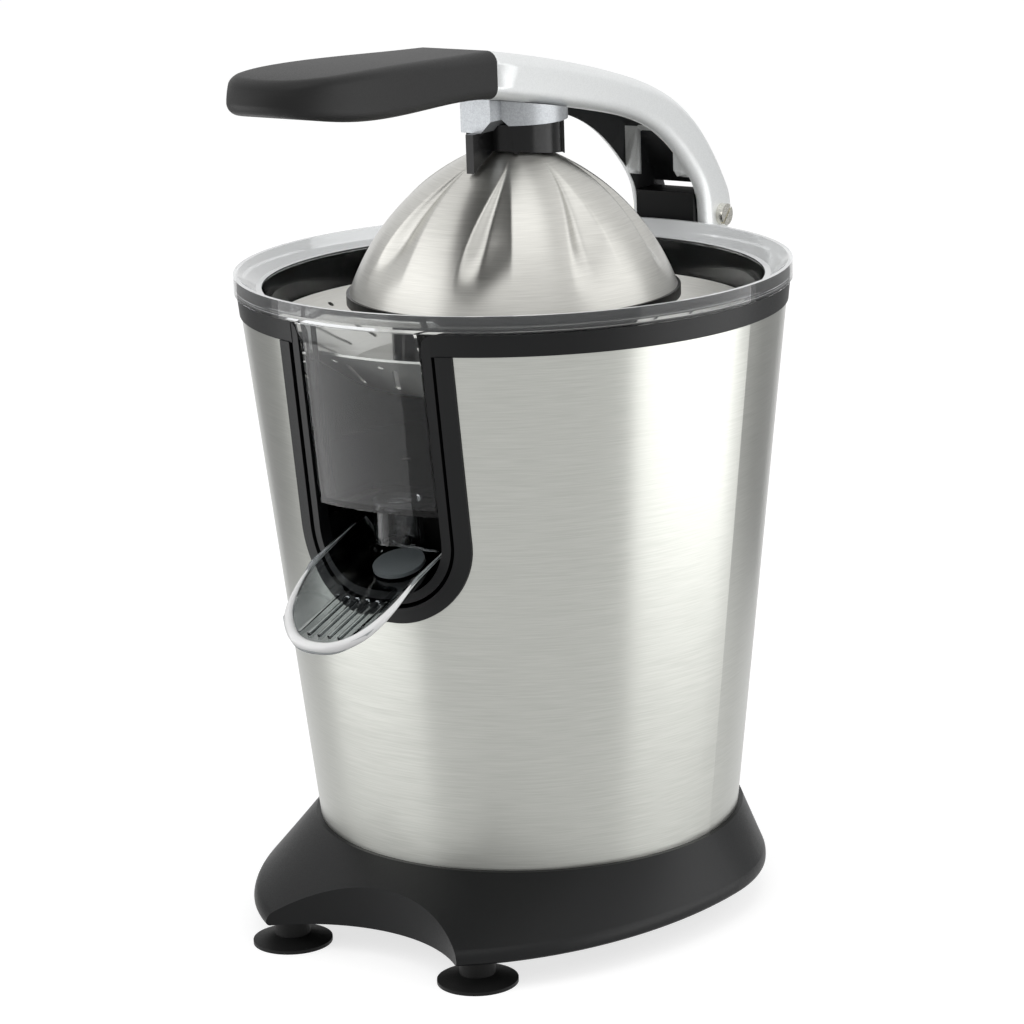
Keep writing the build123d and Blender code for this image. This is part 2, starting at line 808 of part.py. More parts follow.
def flute_cutters(grow):
    """Tapered cutters with ball ends that lie along the dome, one to a flute."""
    top_r, top_z = flute_top
    end_r, end_z = flute_end
    small = flute_top_r + grow
    big = flute_end_r + grow
    length = math.hypot(end_r - top_r, end_z - top_z)
    lean = math.degrees(math.atan2(end_r - top_r, end_z - top_z))
    taper = math.asin((big - small) / length)
    start = (small * math.cos(taper), -small * math.sin(taper))
    ball_start = (big * math.cos(taper), length - big * math.sin(taper))
    half_turn = (math.pi / 2 - taper) / 2
    ball_middle = (big * math.cos(half_turn), length + big * math.sin(half_turn))
    ball_end = (0, length + big)
    ball = ThreePointArc(ball_start, ball_middle, ball_end)
    rest = Polyline(ball_end, (0, start[1]), start, ball_start)
    tool = revolve(Plane.XZ * make_face([*ball.edges(), *rest.edges()]), Axis.Z)
    tool = Pos(top_r, 0, top_z) * Rot(0, lean, 180) * tool
    return [Rot(0, 0, flute_phase + 360 * n / flute_count) * tool for n in range(flute_count)]


def make_cone_shell():
    outside = cone_dome(0) - flute_cutters(0)
    inside = cone_dome(cone_wall) - flute_cutters(cone_wall)
    return outside - inside


def make_cone_core():
    web_low = cone_ring_z + cone_ring - core_web
    ring = pipe(cone_ring_r, cone_r(2 * cone_ring), cone_ring_z, cone_ring_z + cone_ring)
    web = rod(cone_r(0), web_low, cone_ring_z + cone_ring)
    boss = rod(core_boss_r, core_boss_low_z, core_boss_top_z)
    ribs = []
    for n in range(core_rib_count):
        rib = block(0, core_rib_r, -core_rib / 2, core_rib / 2, web_low, web_low + core_rib_rise)
        ribs.append(Rot(0, 0, 360 * n / core_rib_count) * rib)
    core = ring + web + boss
    core = core + ribs
    socket = extrude(Pos(0, 0, core_boss_low_z - overrun) * RegularPolygon(shaft_r + run_gap, 6),
                     amount=shaft_top_z + overrun + slip_gap - core_boss_low_z)
    round_part = rod(shaft_r + run_gap, core_boss_low_z - overrun, shaft_hex_z + slip_gap)
    return core - socket - round_part


# Drive: shaft, carrier, spring, switch

def make_drive_shaft():
    shaft = rod(shaft_r, shaft_low_z, shaft_hex_z)
    drive = extrude(Pos(0, 0, shaft_hex_z) * RegularPolygon(shaft_r, 6), amount=shaft_top_z - shaft_hex_z)
    collar_low = carrier_z + carrier_thick
    return shaft + drive + rod(shaft_collar_r, collar_low, collar_low + shaft_collar)


def make_shaft_bushes():
    inner = shaft_r + run_gap
    lower = pipe(bush_r, inner, gearbox_top_z - gearbox_plate, gearbox_top_z + bush_boss)
    upper = pipe(bush_r, inner, hub_top_z - top_bush_length, hub_top_z)
    return Compound(children=[lower, upper])


def make_shaft_seal():
    return turned((shaft_r + slip_gap, hub_top_z), (seal_r, hub_top_z), (bush_r, hub_top_z + seal_height),
                  (shaft_r + slip_gap, hub_top_z + seal_height))


def make_press_carrier():
    high = carrier_z + carrier_thick
    finger = block(0, switch_x + carrier_arm_half, -carrier_arm_half, carrier_arm_half, carrier_z, high)
    lug = block(guide_x, 0, -carrier_arm_half, carrier_arm_half, carrier_z, high)
    lug = lug + rod(carrier_arm_half, carrier_z, high, guide_x, 0)
    carrier = rod(carrier_r, carrier_z, high) + finger + lug
    carrier = carrier - rod(shaft_r + run_gap, carrier_z - overrun, high + overrun)
    return carrier - rod(guide_r + run_gap, carrier_z - overrun, high + overrun, guide_x, 0)


def make_return_spring():
    low = gearbox_top_z + spring_wire_r + run_gap
    high = carrier_z - spring_wire_r - run_gap
    halves = 2 * spring_turns
    rise = (high - low) / halves
    path = []
    points = []
    for n in range(halves):
        start = n * math.pi
        spots = []
        for part in (0, 0.5, 1):
            angle = start + part * math.pi
            spots.append((spring_mean_r * math.cos(angle), spring_mean_r * math.sin(angle),
                          low + (n + part) * rise))
        path.append(ThreePointArc(*spots))
        points.append(spots[1])
    wire = Wire([edge for arc in path for edge in arc.edges()])
    section = Plane(origin=wire @ 0, z_dir=wire % 0) * Circle(spring_wire_r)
    gap = min(math.dist(points[n], points[n + 2]) for n in range(halves - 2)) - 2 * spring_wire_r
    print("return spring: least gap between turns", round(gap, 3), "mm")
    return sweep(section, path=wire)


def switch_block():
    """Lowest and highest corners of the switch body."""
    long, wide, tall = switch_size
    return switch_x - long / 2, switch_x + long / 2, -wide / 2, wide / 2, gearbox_top_z, gearbox_top_z + tall


def switch_screw_places():
    low_x, high_x = switch_block()[:2]
    return ((low_x + screw_head_r, 0), (high_x - screw_head_r, 0))


def make_switch_body():
    body = block(*switch_block())
    high = gearbox_top_z + switch_size[2]
    body = body - rod(plunger_r + run_gap, gearbox_top_z + plunger_floor, high + overrun, switch_x, 0)
    for x, y in switch_screw_places():
        body = body - rod(screw_r + run_gap, gearbox_top_z - overrun, high + overrun, x, y)
    return body


def make_switch_plunger():
    high = gearbox_top_z + switch_size[2]
    return rod(plunger_r, high - plunger_depth, carrier_z - run_gap, switch_x, 0)


def make_switch_screws():
    high = gearbox_top_z + switch_size[2]
    tip = gearbox_top_z - gearbox_plate
    return Compound(children=[screw_down(x, y, high + screw_head, tip) for x, y in switch_screw_places()])


# Gear train and gearbox

idler_y = gear_module * (output_teeth + small_teeth) / 2 + gear_slack
motor_y = idler_y - gear_module * (large_teeth + pinion_teeth) / 2 - gear_slack


def gear_wheel(teeth, low, high, phase):
    """Spur gear with straight-sided teeth; phase is in teeth."""
    pitch_r = gear_module * teeth / 2
    root_r = pitch_r - root_depth_share * gear_module
    tip_r = pitch_r + tip_height_share * gear_module
    corners = ((root_r, -root_half_share), (tip_r, -tip_half_share),
               (tip_r, tip_half_share), (root_r, root_half_share))
    points = []
    for n in range(teeth):
        for radius, share in corners:
            angle = 2 * math.pi * (n + phase + share) / teeth
            points.append((radius * math.cos(angle), radius * math.sin(angle)))
    return extrude(Pos(0, 0, low) * make_face(Polyline(*points, close=True)), amount=high - low)


def make_output_gear():
    high = output_low_z + output_thick
    wheel = gear_wheel(output_teeth, output_low_z, high, 0)
    return wheel - rod(shaft_r + run_gap, output_low_z - overrun, high + overrun)


def make_idler_gear():
    large_high = large_low_z + large_thick
    wheel = gear_wheel(large_teeth, large_low_z, large_high, 0)
    wheel = wheel + gear_wheel(small_teeth, large_high, small_top_z, 0.5)
    wheel = wheel - rod(axle_r + run_gap, large_low_z - overrun, small_top_z + overrun)
    return Pos(0, idler_y, 0) * wheel


def gearbox_face(grow):
    """Outline round the two big wheels."""
    output_r = gear_module * (output_teeth / 2 + tip_height_share) + gear_room + grow
    idler_r = gear_module * (large_teeth / 2 + tip_height_share) + gear_room + grow
    circles = Circle(output_r).edges() + (Pos(0, idler_y) * Circle(idler_r)).edges()
    return make_hull(circles)


def gearbox_prism(grow, low, high):
    return extrude(Pos(0, 0, low) * gearbox_face(grow), amount=high - low)


def make_gearbox_lower():
    box = gearbox_prism(gearbox_wall, gearbox_low_z, gearbox_split_z)
    for x, y in ear_places:
        box = box + rod(ear_r_gearbox, gearbox_split_z - ear_height, gearbox_split_z, x, y)
    floor_top = gearbox_low_z + gearbox_plate
    box = box - gearbox_prism(0, floor_top, gearbox_split_z + overrun)
    box = box + rod(axle_boss_r, floor_top, large_low_z - slip_gap, 0, idler_y)
    box = box - rod(axle_r + run_gap, gearbox_low_z - overrun, large_low_z + overrun, 0, idler_y)
    box = box - rod(motor_bush_r + slip_gap, gearbox_low_z - overrun, floor_top + overrun, 0, motor_y)
    for x in (-motor_screw_r, motor_screw_r):
        box = box - rod(screw_r + run_gap, gearbox_low_z - overrun, floor_top + overrun, x, motor_y)
    for x, y in ear_places:
        box = box - rod(screw_r + run_gap, gearbox_low_z, gearbox_split_z + overrun, x, y)
    return box


def make_gearbox_upper():
    plate_low = gearbox_top_z - gearbox_plate
    flange = Pos(0, (flange_front_y + flange_back_y) / 2) * RectangleRounded(
        2 * flange_half_x, flange_back_y - flange_front_y, flange_corner)
    box = gearbox_prism(gearbox_wall, gearbox_split_z, gearbox_top_z)
    box = box + extrude(Pos(0, 0, plate_low) * flange, amount=gearbox_plate)
    for x, y in ear_places:
        box = box + rod(ear_r_gearbox, gearbox_split_z, gearbox_split_z + ear_height, x, y)
    box = box - gearbox_prism(0, gearbox_split_z - overrun, plate_low)
    box = box + rod(axle_boss_r, small_top_z + slip_gap, plate_low, 0, idler_y)
    box = box - rod(axle_r + run_gap, gearbox_split_z, gearbox_top_z + overrun, 0, idler_y)
    for x, y in post_places:
        box = box + rod(post_r, gearbox_top_z, tub_floor_z, x, y)
        box = box - rod(screw_r + run_gap, plate_low - overrun, tub_floor_z + overrun, x, y)
    for x, y in ear_places:
        box = box - rod(screw_r + run_gap, gearbox_split_z - overrun, gearbox_split_z + ear_height, x, y)
    box = box + rod(shaft_collar_r, gearbox_top_z, gearbox_top_z + bush_boss)
    box = box - rod(bush_r + run_gap, plate_low - overrun, gearbox_top_z + bush_boss + overrun)
    box = box + rod(guide_r, gearbox_top_z, guide_top_z, guide_x, 0)
    for x, y in switch_screw_places():
        box = box - rod(screw_r + run_gap, plate_low - overrun, gearbox_top_z + overrun, x, y)
    return box


def make_gearbox_screws():
    screws = []
    for x, y in ear_places:
        head_low = gearbox_split_z - ear_height - screw_head
        screws.append(screw_up(x, y, head_low, gearbox_split_z + ear_height - overrun))
    for x, y in post_places:
        head_low = gearbox_top_z - gearbox_plate - screw_head
        screws.append(screw_up(x, y, head_low, tub_floor_z + tub_floor))
    return Compound(children=screws)


def make_idler_axle():
    return rod(axle_r, gearbox_low_z, gearbox_top_z, 0, idler_y)


# Motor

def make_motor_can():
    can = rod(motor_r, motor_low_z, gearbox_low_z, 0, motor_y)
    can = can - rod(motor_r - motor_wall, motor_low_z + motor_wall, gearbox_low_z - motor_wall, 0, motor_y)
    seat_r = motor_bush_r + slip_gap
    for low, high in ((motor_low_z + motor_wall, motor_low_z + motor_wall + motor_bush),
                      (gearbox_low_z - motor_wall - motor_bush, gearbox_low_z - motor_wall)):
        can = can + pipe(seat_r + motor_wall, seat_r, low, high, 0, motor_y)
    can = can - rod(seat_r, gearbox_low_z - motor_wall - overrun, gearbox_low_z + overrun, 0, motor_y)
    for x in (-motor_screw_r, motor_screw_r):
        can = can - rod(screw_r + run_gap, gearbox_low_z - motor_wall - overrun, gearbox_low_z + overrun,
                        x, motor_y)
    return can


def make_motor_stator():
    outer = motor_r - motor_wall - seat_gap
    return pipe(outer, rotor_r + air_gap, core_low_z, core_top_z, 0, motor_y)


def make_motor_bushes():
    outer = motor_bush_r + slip_gap - run_gap
    inner = rotor_shaft_r + run_gap
    low = motor_low_z + motor_wall
    lower = pipe(outer, inner, low, low + motor_bush, 0, motor_y)
    high = gearbox_low_z
    upper = pipe(outer, inner, high - motor_wall - motor_bush, high, 0, motor_y)
    return Compound(children=[lower, upper])


def make_motor_rotor():
    rotor = rod(rotor_shaft_r, motor_low_z + motor_wall + run_gap, large_low_z)
    rotor = rotor + rod(rotor_r, core_low_z, core_top_z)
    rotor = rotor + gear_wheel(pinion_teeth, large_low_z, large_low_z + large_thick, 0)
    return Pos(0, motor_y, 0) * rotor


def make_motor_screws():
    head_top = gearbox_low_z + gearbox_plate + screw_head
    tip = gearbox_low_z - motor_wall - overrun
    return Compound(children=[screw_down(x, motor_y, head_top, tip) for x in (-motor_screw_r, motor_screw_r)])


# Hinge bracket and pin

def make_hinge_bracket():
    knuckle = Pos(hinge_y, hinge_z) * Circle(knuckle_r)
    tower = make_face(Polyline((bracket_front_y, hinge_z + knuckle_r), (hinge_y, hinge_z + knuckle_r),
                               (hinge_y, hinge_z), (bracket_back_y, hinge_z - knuckle_r),
                               (bracket_back_y, bracket_step_z), (bracket_foot_y, bracket_foot_z),
                               (0, bracket_foot_z), (0, bracket_step_z), (bracket_front_y, bracket_step_z),
                               close=True))
    solid = extrude(Plane.YZ * (tower + knuckle), amount=bracket_half, both=True)
    solid = solid - shell_cone(seat_gap, bracket_foot_z - overrun, shell_top_z)
    solid = solid - cross_rod(hinge_bush_r + run_gap, -bracket_half - overrun, bracket_half + overrun,
                              hinge_y, hinge_z)
    for z in bracket_screw_heights:
        solid = solid - deep_rod(screw_r + run_gap, shell_bottom_r, shell_r(z) + screw_head_r, 0, z)
    return solid


def make_bracket_screws():
    screws = []
    for z in bracket_screw_heights:
        inside = shell_r(z) - shell_wall - seat_gap
        head = deep_rod(screw_head_r, inside - screw_head, inside, 0, z)
        head = head & shell_cone(-shell_wall - seat_gap, bracket_foot_z, shell_top_z)
        screws.append(head + deep_rod(screw_r, inside - screw_head, inside + screw_head_r, 0, z))
    return Compound(children=screws)


def make_hinge_bushes():
    bushes = []
    for side in (-1, 1):
        face = bracket_half
        low, high = sorted((side * (face - hinge_bush), side * (face + hinge_bush_flange)))
        sleeve = cross_rod(hinge_bush_r, low, high, hinge_y, hinge_z)
        low, high = sorted((side * face, side * (face + hinge_bush_flange)))
        flange = cross_rod(hinge_bush_flange_r, low, high, hinge_y, hinge_z)
        bore = cross_rod(pin_r + run_gap, -arm_half, arm_half, hinge_y, hinge_z)
        bushes.append(sleeve + flange - bore)
    return Compound(children=bushes)


def make_hinge_pin():
    pin = cross_rod(pin_r, -arm_half - nut_thick, arm_half, hinge_y, hinge_z)
    head = cross_rod(pin_head_r, arm_half, arm_half + pin_head, hinge_y, hinge_z)
    slot = block(arm_half + pin_head - pin_slot_depth, arm_half + pin_head + overrun,
                 -2 * pin_head_r, 2 * pin_head_r, -pin_slot / 2, pin_slot / 2)
    return pin + head - Pos(0, hinge_y, hinge_z) * Rot(45, 0, 0) * slot


def make_hinge_nut():
    face = Plane.YZ * Pos(hinge_y, hinge_z) * RegularPolygon(nut_r, 6)
    nut = Pos(-arm_half, 0, 0) * extrude(face, amount=-nut_thick)
    return nut - cross_rod(pin_r + run_gap, -arm_half - nut_thick - overrun, 0, hinge_y, hinge_z)


# Lever arm, grip and presser

def arm_spot(shares):
    """Point of the arm's outline from its shares of the span and the rise."""
    along, up = shares
    span = hinge_y - arm_front_y
    rise = arm_front_top_z - hinge_z
    return arm_front_y + along * span, hinge_z + up * rise


def arm_profile():
    """Side view of the arm, with the round ear at its hinge."""
    top_start = (arm_front_y, arm_front_top_z)
    under_start = (arm_front_y, arm_front_under_z)
    back = (hinge_y + arm_ear_r, hinge_z)
    front = (hinge_y - arm_ear_r, hinge_z)
    start_way = (1, arm_start_slope)
    down = (0, -1)
    top = Spline(top_start, *[arm_spot(s) for s in arm_top_shares], back, tangents=(start_way, down))
    under = Spline(under_start, *[arm_spot(s) for s in arm_under_shares], front, tangents=(start_way, down))
    ear = ThreePointArc(back, (hinge_y, hinge_z - arm_ear_r), front)
    nose = Line(top_start, under_start)
    return make_face([*top.edges(), *ear.edges(), *under.edges(), *nose.edges()])


def arm_blank():
    blank = extrude(Plane.YZ * arm_profile(), amount=arm_half, both=True)
    return fillet(blank.edges().sort_by(SortBy.LENGTH)[-2:], arm_edge_round)


def tang_block(grow, length):
    """Flat tang inside the grip, grown all round."""
    half = tang_half + grow
    thick = tang_thick / 2 + grow
    tang = block(-half, half, -length - grow, tang_root, -thick, thick)
    return Pos(0, arm_front_y, tang_z) * Rot(-tang_tilt, 0, 0) * tang


def grip_screw_spots():
    """Places of the grip's screws along the tang."""
    turn = math.radians(tang_tilt)
    return [arm_front_y - share * tang_length * math.cos(turn) for share in grip_screw_shares]


def make_lever_arm():
    arm = arm_blank()
    inner_half = arm_half - cheek
    hollow = Pos(0, -arm_back, -arm_roof) * extrude(Plane.YZ * arm_profile(), amount=inner_half, both=True)
    room = block(-inner_half, inner_half, arm_front_y + arm_nose, hinge_y + 2 * arm_ear_r,
                 hinge_z - 2 * arm_ear_r, arm_front_top_z)
    arm = arm - (hollow & room)
    arm = arm - block(-inner_half, inner_half, bracket_front_y - arm_ear_r, hinge_y + 2 * arm_ear_r,
                      hinge_z - 2 * arm_ear_r, arm_tail_z)
    arm = arm - cross_rod(pin_r + run_gap, -arm_half - overrun, arm_half + overrun, hinge_y, hinge_z)
    for side in (-1, 1):
        near, far = sorted((side * (inner_half - arm_rib_reach), side * (inner_half + cheek / 2)))
        rib = block(near, far, arm_rib_y, arm_rib_y + arm_rib, arm_rib_low_z, arm_front_top_z)
        arm = arm + (rib & arm_blank())
    arm = arm + tang_block(0, tang_length)
    for y in grip_screw_spots():
        arm = arm - rod(screw_r + run_gap, grip_screw_low_z, grip_top_z, 0, y)
    return arm


def grip_blank():
    """Grip before it is split: its plan and its side view, with rounded rims."""
    length = arm_front_y - grip_tip_y
    root = (arm_half, arm_front_y)
    other_root = (-arm_half, arm_front_y)
    slant = (grip_half - arm_half) / length
    near = []
    far = []
    for along, out in grip_side_shares:
        near.append((out * grip_half, arm_front_y - along * length))
        far.insert(0, (-out * grip_half, arm_front_y - along * length))
    rim = Spline(root, *near, (0, grip_tip_y), *far, other_root, tangents=((slant, -1), (slant, 1)))
    plan = make_face([*rim.edges(), *Line(other_root, root).edges()])
    body = extrude(Pos(0, 0, hinge_z) * plan, amount=2 * (grip_top_z - hinge_z))
    rise = grip_top_z - arm_front_top_z
    drop = grip_tip_under_z - arm_front_under_z
    top_root = (arm_front_y, arm_front_top_z)
    under_root = (arm_front_y, arm_front_under_z)
    top_tip = (grip_tip_y - overrun, grip_tip_top_z)
    under_tip = (grip_tip_y - overrun, grip_tip_under_z)
    crest = [(arm_front_y - along * length, arm_front_top_z + up * rise) for along, up in grip_top_shares]
    keel = [(arm_front_y - along * length, arm_front_under_z + up * drop) for along, up in grip_under_shares]
    top = Spline(top_root, *crest, top_tip)
    under = Spline(under_root, *keel, under_tip)
    outline = make_face([*top.edges(), *under.edges(), *Line(top_root, under_root).edges(),
                         *Line(top_tip, under_tip).edges()])
    blank = body & extrude(Plane.YZ * outline, amount=2 * grip_half, both=True)
    rims = [edge for edge in blank.edges() if edge.center().Y < arm_front_y - overrun]
    return fillet(rims, grip_round)


def make_grip_half(upper):
    grip = grip_blank() - tang_block(seat_gap, tang_length)
    reach = 2 * (arm_front_y - grip_tip_y)
    wide = 2 * grip_half
    low, high = (0, reach) if upper else (-reach, 0)
    keep = Pos(0, arm_front_y, tang_z) * Rot(-tang_tilt, 0, 0) * block(-wide, wide, -reach, reach, low, high)
    half = grip & keep
    screw_top = grip_screw_low_z + grip_screw_reach + slip_gap
    for y in grip_screw_spots():
        half = half - rod(screw_r + run_gap, grip_screw_low_z, screw_top, 0, y)
        half = half - rod(screw_head_r + seat_gap, hinge_z, grip_screw_low_z + screw_head + run_gap, 0, y)
    return half


def make_grip_screws():
    low = grip_screw_low_z
    return Compound(children=[screw_up(0, y, low, low + grip_screw_reach) for y in grip_screw_spots()])


def make_presser_mount():
    top = arm_front_under_z
    lobe_back = presser_y - presser_r - slip_gap
    bevel = lobe_bevel * math.sqrt(2)
    corner = Pos(lobe_half, lobe_front_y, lobe_z) * Rot(0, 45, 0) * Box(bevel, 2 * mount_r + overrun, bevel)
    boss = rod(mount_r, mount_z, top, 0, presser_y)
    boss = boss + block(-lobe_half, lobe_half, lobe_front_y, 0, mount_z, top)
    boss = boss + block(-lobe_half, lobe_half, lobe_front_y, lobe_back, lobe_z, top) - corner
    under_arm = extrude(Plane.YZ * arm_profile(), amount=2 * mount_r, both=True)
    lower = boss - Pos(0, 0, -seat_gap) * under_arm
    mount = lower.solids().sort_by(Axis.Z)[0] + rod(mount_stem_r, mount_z, mount_stem_z, 0, presser_y)
    return mount - rod(screw_r + run_gap, mount_z - overrun, mount_stem_z + overrun, 0, presser_y)


def make_presser():
    body = rod(presser_r, presser_low_z, mount_z, 0, presser_y)
    for turn in grip_rib_turns:
        rib = block(0, presser_r + grip_rib_proud, -grip_rib / 2, grip_rib / 2, presser_low_z, mount_z)
        body = body + Pos(0, presser_y, 0) * Rot(0, 0, turn) * rib
    body = body + block(-fin / 2, fin / 2, -fin_r, 0, presser_low_z, mount_z)
    lobe_room = block(-lobe_half - seat_gap, lobe_half + seat_gap, -2 * mount_r, presser_y - presser_r,
                      lobe_z, mount_z + overrun)
    body = body - lobe_room - cone_dome(-presser_gap)
    inner_low = cone_top_z + presser_gap - overrun
    body = body - rod(screw_head_r + seat_gap, presser_low_z, mount_z - presser_roof, 0, presser_y)
    return body - rod(screw_r + run_gap, inner_low, mount_z + overrun, 0, presser_y)


def make_presser_screw():
    low = mount_z - presser_roof - screw_head
    return screw_up(0, presser_y, low, presser_screw_top_z)


# Spout

def spout_frame(shape):
    """Moves a shape from the spout's own level frame to its rest pose.

    In that frame the pivot is the origin, +Y runs back and the floor is level.
    """
    return Pos(0, spout_pivot_y, spout_pivot_z) * Rot(spout_rest_tilt, 0, 0) * shape


def spout_trough(shrink, low, high):
    """Round-bottomed bar along the flow, narrowed all round."""
    half = spout_half - shrink
    section = Pos(0, (low + high) / 2) * Rectangle(2 * half, high - low)
    section = fillet(section.vertices().sort_by(Axis.Y)[:2], spout_bend - shrink)
    return Pos(0, -spout_root, 0) * extrude(Plane.XZ * section, amount=spout_reach)


def spout_plan():
    """Plan of the chute, narrowed to a round lip."""
    half = spout_half
    sides = Polyline((-half, -spout_neck), (-half, -spout_root), (half, -spout_root), (half, -spout_neck))
    lip = EllipticalCenterArc((0, -spout_neck), half, spout_reach - spout_neck, 180, arc_size=180)
    outline = make_face([*sides.edges(), *lip.edges()])
    return extrude(outline, amount=spout_bend + spout_rim_h)


def make_spout_chute():
    low = spout_floor_h - spout_wall
    high = spout_bend + spout_rim_h
    chute = spout_trough(0, low, high) & spout_plan()
    room = Pos(0, overrun, 0) * spout_trough(spout_wall, spout_floor_h, high + overrun)
    chute = chute - room - Pos(0, -2 * overrun, 0) * room
    slope = make_face(Polyline((0, spout_rim_h), (-spout_rim_flat, spout_rim_h),
                               (-spout_reach, spout_tip_rim_h), (-spout_reach - overrun, spout_tip_rim_h),
                               (-spout_reach - overrun, high + overrun), (0, high + overrun), close=True))
    chute = chute - extrude(Plane.YZ * slope, amount=2 * spout_half, both=True)
    pitch = spout_rib_room / (spout_rib_count - 1)
    for n in range(spout_rib_count):
        x = n * pitch - spout_rib_room / 2
        chute = chute + block(x - spout_rib / 2, x + spout_rib / 2, -spout_rib_to, -spout_rib_from,
                              spout_floor_h - spout_wall / 2, spout_floor_h + spout_rib)
    for side in (-1, 1):
        near, far = sorted((side * spout_lug_x, side * (spout_lug_x + spout_lug)))
        lug = cross_rod(spout_lug_r, near, far, 0, 0)
        lug = lug + block(near, far, -spout_lug_run, 0, 0, spout_lug_top_h)
        chute = chute + lug
    chute = chute - cross_rod(spout_pin_r + run_gap, -trim_half, trim_half, 0, 0)
    return spout_frame(chute)


def stopper_along():
    """Distance from the pivot to the stopper's middle along the level floor."""
    return spout_pivot_y - outlet_y


def make_stopper_pad():
    along = stopper_along()
    pad = rod(stopper_r, stopper_top_h - stopper_thick, stopper_top_h, 0, -along)
    return spout_frame(pad + rod(stopper_neck_r, spout_floor_h, stopper_top_h, 0, -along))


def make_spout_pins():
    pins = []
    for side in (-1, 1):
        low, high = sorted((side * spout_lug_x, side * spout_pin_out))
        pins.append(cross_rod(spout_pin_r, low, high, spout_pivot_y, spout_pivot_z))
    return Compound(children=pins)


nodes = {
    "base_housing": make_base_housing,
    "base_plate": make_base_plate,
    "suction_feet": make_feet,
    "base_screws": make_base_screws,
    "cord_inlet": make_cord_inlet,
    "steel_shell": make_steel_shell,
    "notch_trim": make_notch_trim,
    "top_collar": make_top_collar,
    "spout_recess": make_spout_recess,
    "inner_tub": make_inner_tub,
    "hinge_bracket": make_hinge_bracket,
    "bracket_screws": make_bracket_screws,
    "hinge_bushes": make_hinge_bushes,
    "hinge_pin": make_hinge_pin,
    "hinge_nut": make_hinge_nut,
    "motor_can": make_motor_can,
    "motor_stator": make_motor_stator,
    "motor_bushes": make_motor_bushes,
    "motor_rotor": make_motor_rotor,
    "motor_screws": make_motor_screws,
    "gearbox_lower": make_gearbox_lower,
    "gearbox_upper": make_gearbox_upper,
    "gearbox_screws": make_gearbox_screws,
    "idler_axle": make_idler_axle,
    "idler_gear": make_idler_gear,
    "output_gear": make_output_gear,
    "drive_shaft": make_drive_shaft,
    "shaft_bushes": make_shaft_bushes,
    "shaft_seal": make_shaft_seal,
    "press_carrier": make_press_carrier,
    "return_spring": make_return_spring,
    "switch_body": make_switch_body,
    "switch_plunger": make_switch_plunger,
    "switch_screws": make_switch_screws,
    "juice_bowl": make_juice_bowl,
    "strainer": make_strainer,
    "strainer_hub": make_strainer_hub,
    "cone_shell": make_cone_shell,
    "cone_core": make_cone_core,
    "lever_arm": make_lever_arm,
    "grip_upper": lambda: make_grip_half(True),
    "grip_lower": lambda: make_grip_half(False),
    "grip_screws": make_grip_screws,
    "presser_mount": make_presser_mount,
    "presser": make_presser,
    "presser_screw": make_presser_screw,
    "spout_chute": make_spout_chute,
    "stopper_pad": make_stopper_pad,
    "spout_pins": make_spout_pins,
}

os.makedirs("parts", exist_ok=True)
for name, make in nodes.items():
    export_step(make(), f"parts/{name}.step")
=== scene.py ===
"""Looks of the lever citrus press: its studio, its finishes and its finer pieces."""
import json
import math

import bpy
from mathutils import Matrix, Vector


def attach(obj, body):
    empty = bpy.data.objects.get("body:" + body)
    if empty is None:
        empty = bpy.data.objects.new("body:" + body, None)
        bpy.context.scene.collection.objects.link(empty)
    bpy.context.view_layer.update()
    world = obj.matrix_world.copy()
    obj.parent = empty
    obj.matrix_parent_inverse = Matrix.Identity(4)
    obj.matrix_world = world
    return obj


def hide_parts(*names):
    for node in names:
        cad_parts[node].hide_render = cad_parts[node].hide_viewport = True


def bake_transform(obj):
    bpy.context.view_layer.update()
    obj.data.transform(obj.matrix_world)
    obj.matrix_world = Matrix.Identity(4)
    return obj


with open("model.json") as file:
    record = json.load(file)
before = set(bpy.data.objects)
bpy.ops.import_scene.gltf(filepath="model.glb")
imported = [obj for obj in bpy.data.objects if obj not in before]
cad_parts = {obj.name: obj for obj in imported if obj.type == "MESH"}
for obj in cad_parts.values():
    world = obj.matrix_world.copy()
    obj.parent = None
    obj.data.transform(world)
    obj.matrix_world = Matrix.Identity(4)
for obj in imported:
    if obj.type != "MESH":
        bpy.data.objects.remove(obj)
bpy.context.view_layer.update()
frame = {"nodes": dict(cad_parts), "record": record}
nodes = frame["nodes"]
mm = 0.001


def add_node(tree, kind, inputs=None, **settings):
    """Adds a node, with its settings and with values or links on its inputs."""
    node = tree.nodes.new(kind)
    for name, value in settings.items():
        setattr(node, name, value)
    for socket, value in (inputs or {}).items():
        if isinstance(value, bpy.types.NodeSocket):
            tree.links.new(value, node.inputs[socket])
        else:
            node.inputs[socket].default_value = value
    return node


def linear(code):
    """An sRGB hex colour as linear values."""
    shares = [int(code[n:n + 2], 16) / 255 for n in (1, 3, 5)]
    return [c / 12.92 if c <= 0.04045 else ((c + 0.055) / 1.055) ** 2.4 for c in shares] + [1]


def blank_material(name):
    """A new material with no nodes yet."""
    material = bpy.data.materials.new(name)
    material.use_nodes = True
    tree = material.node_tree
    tree.nodes.clear()
    return material, tree


def seen_rays(tree):
    """A mask of the rays that come from the camera, from a shiny face or through clear plastic."""
    path = add_node(tree, "ShaderNodeLightPath")
    direct = add_node(tree, "ShaderNodeMath", {
        0: path.outputs["Is Camera Ray"], 1: path.outputs["Is Glossy Ray"]}, operation="MAXIMUM")
    seen = add_node(tree, "ShaderNodeMath", {
        0: direct.outputs[0], 1: path.outputs["Is Transmission Ray"]}, operation="MAXIMUM")
    return seen.outputs[0]


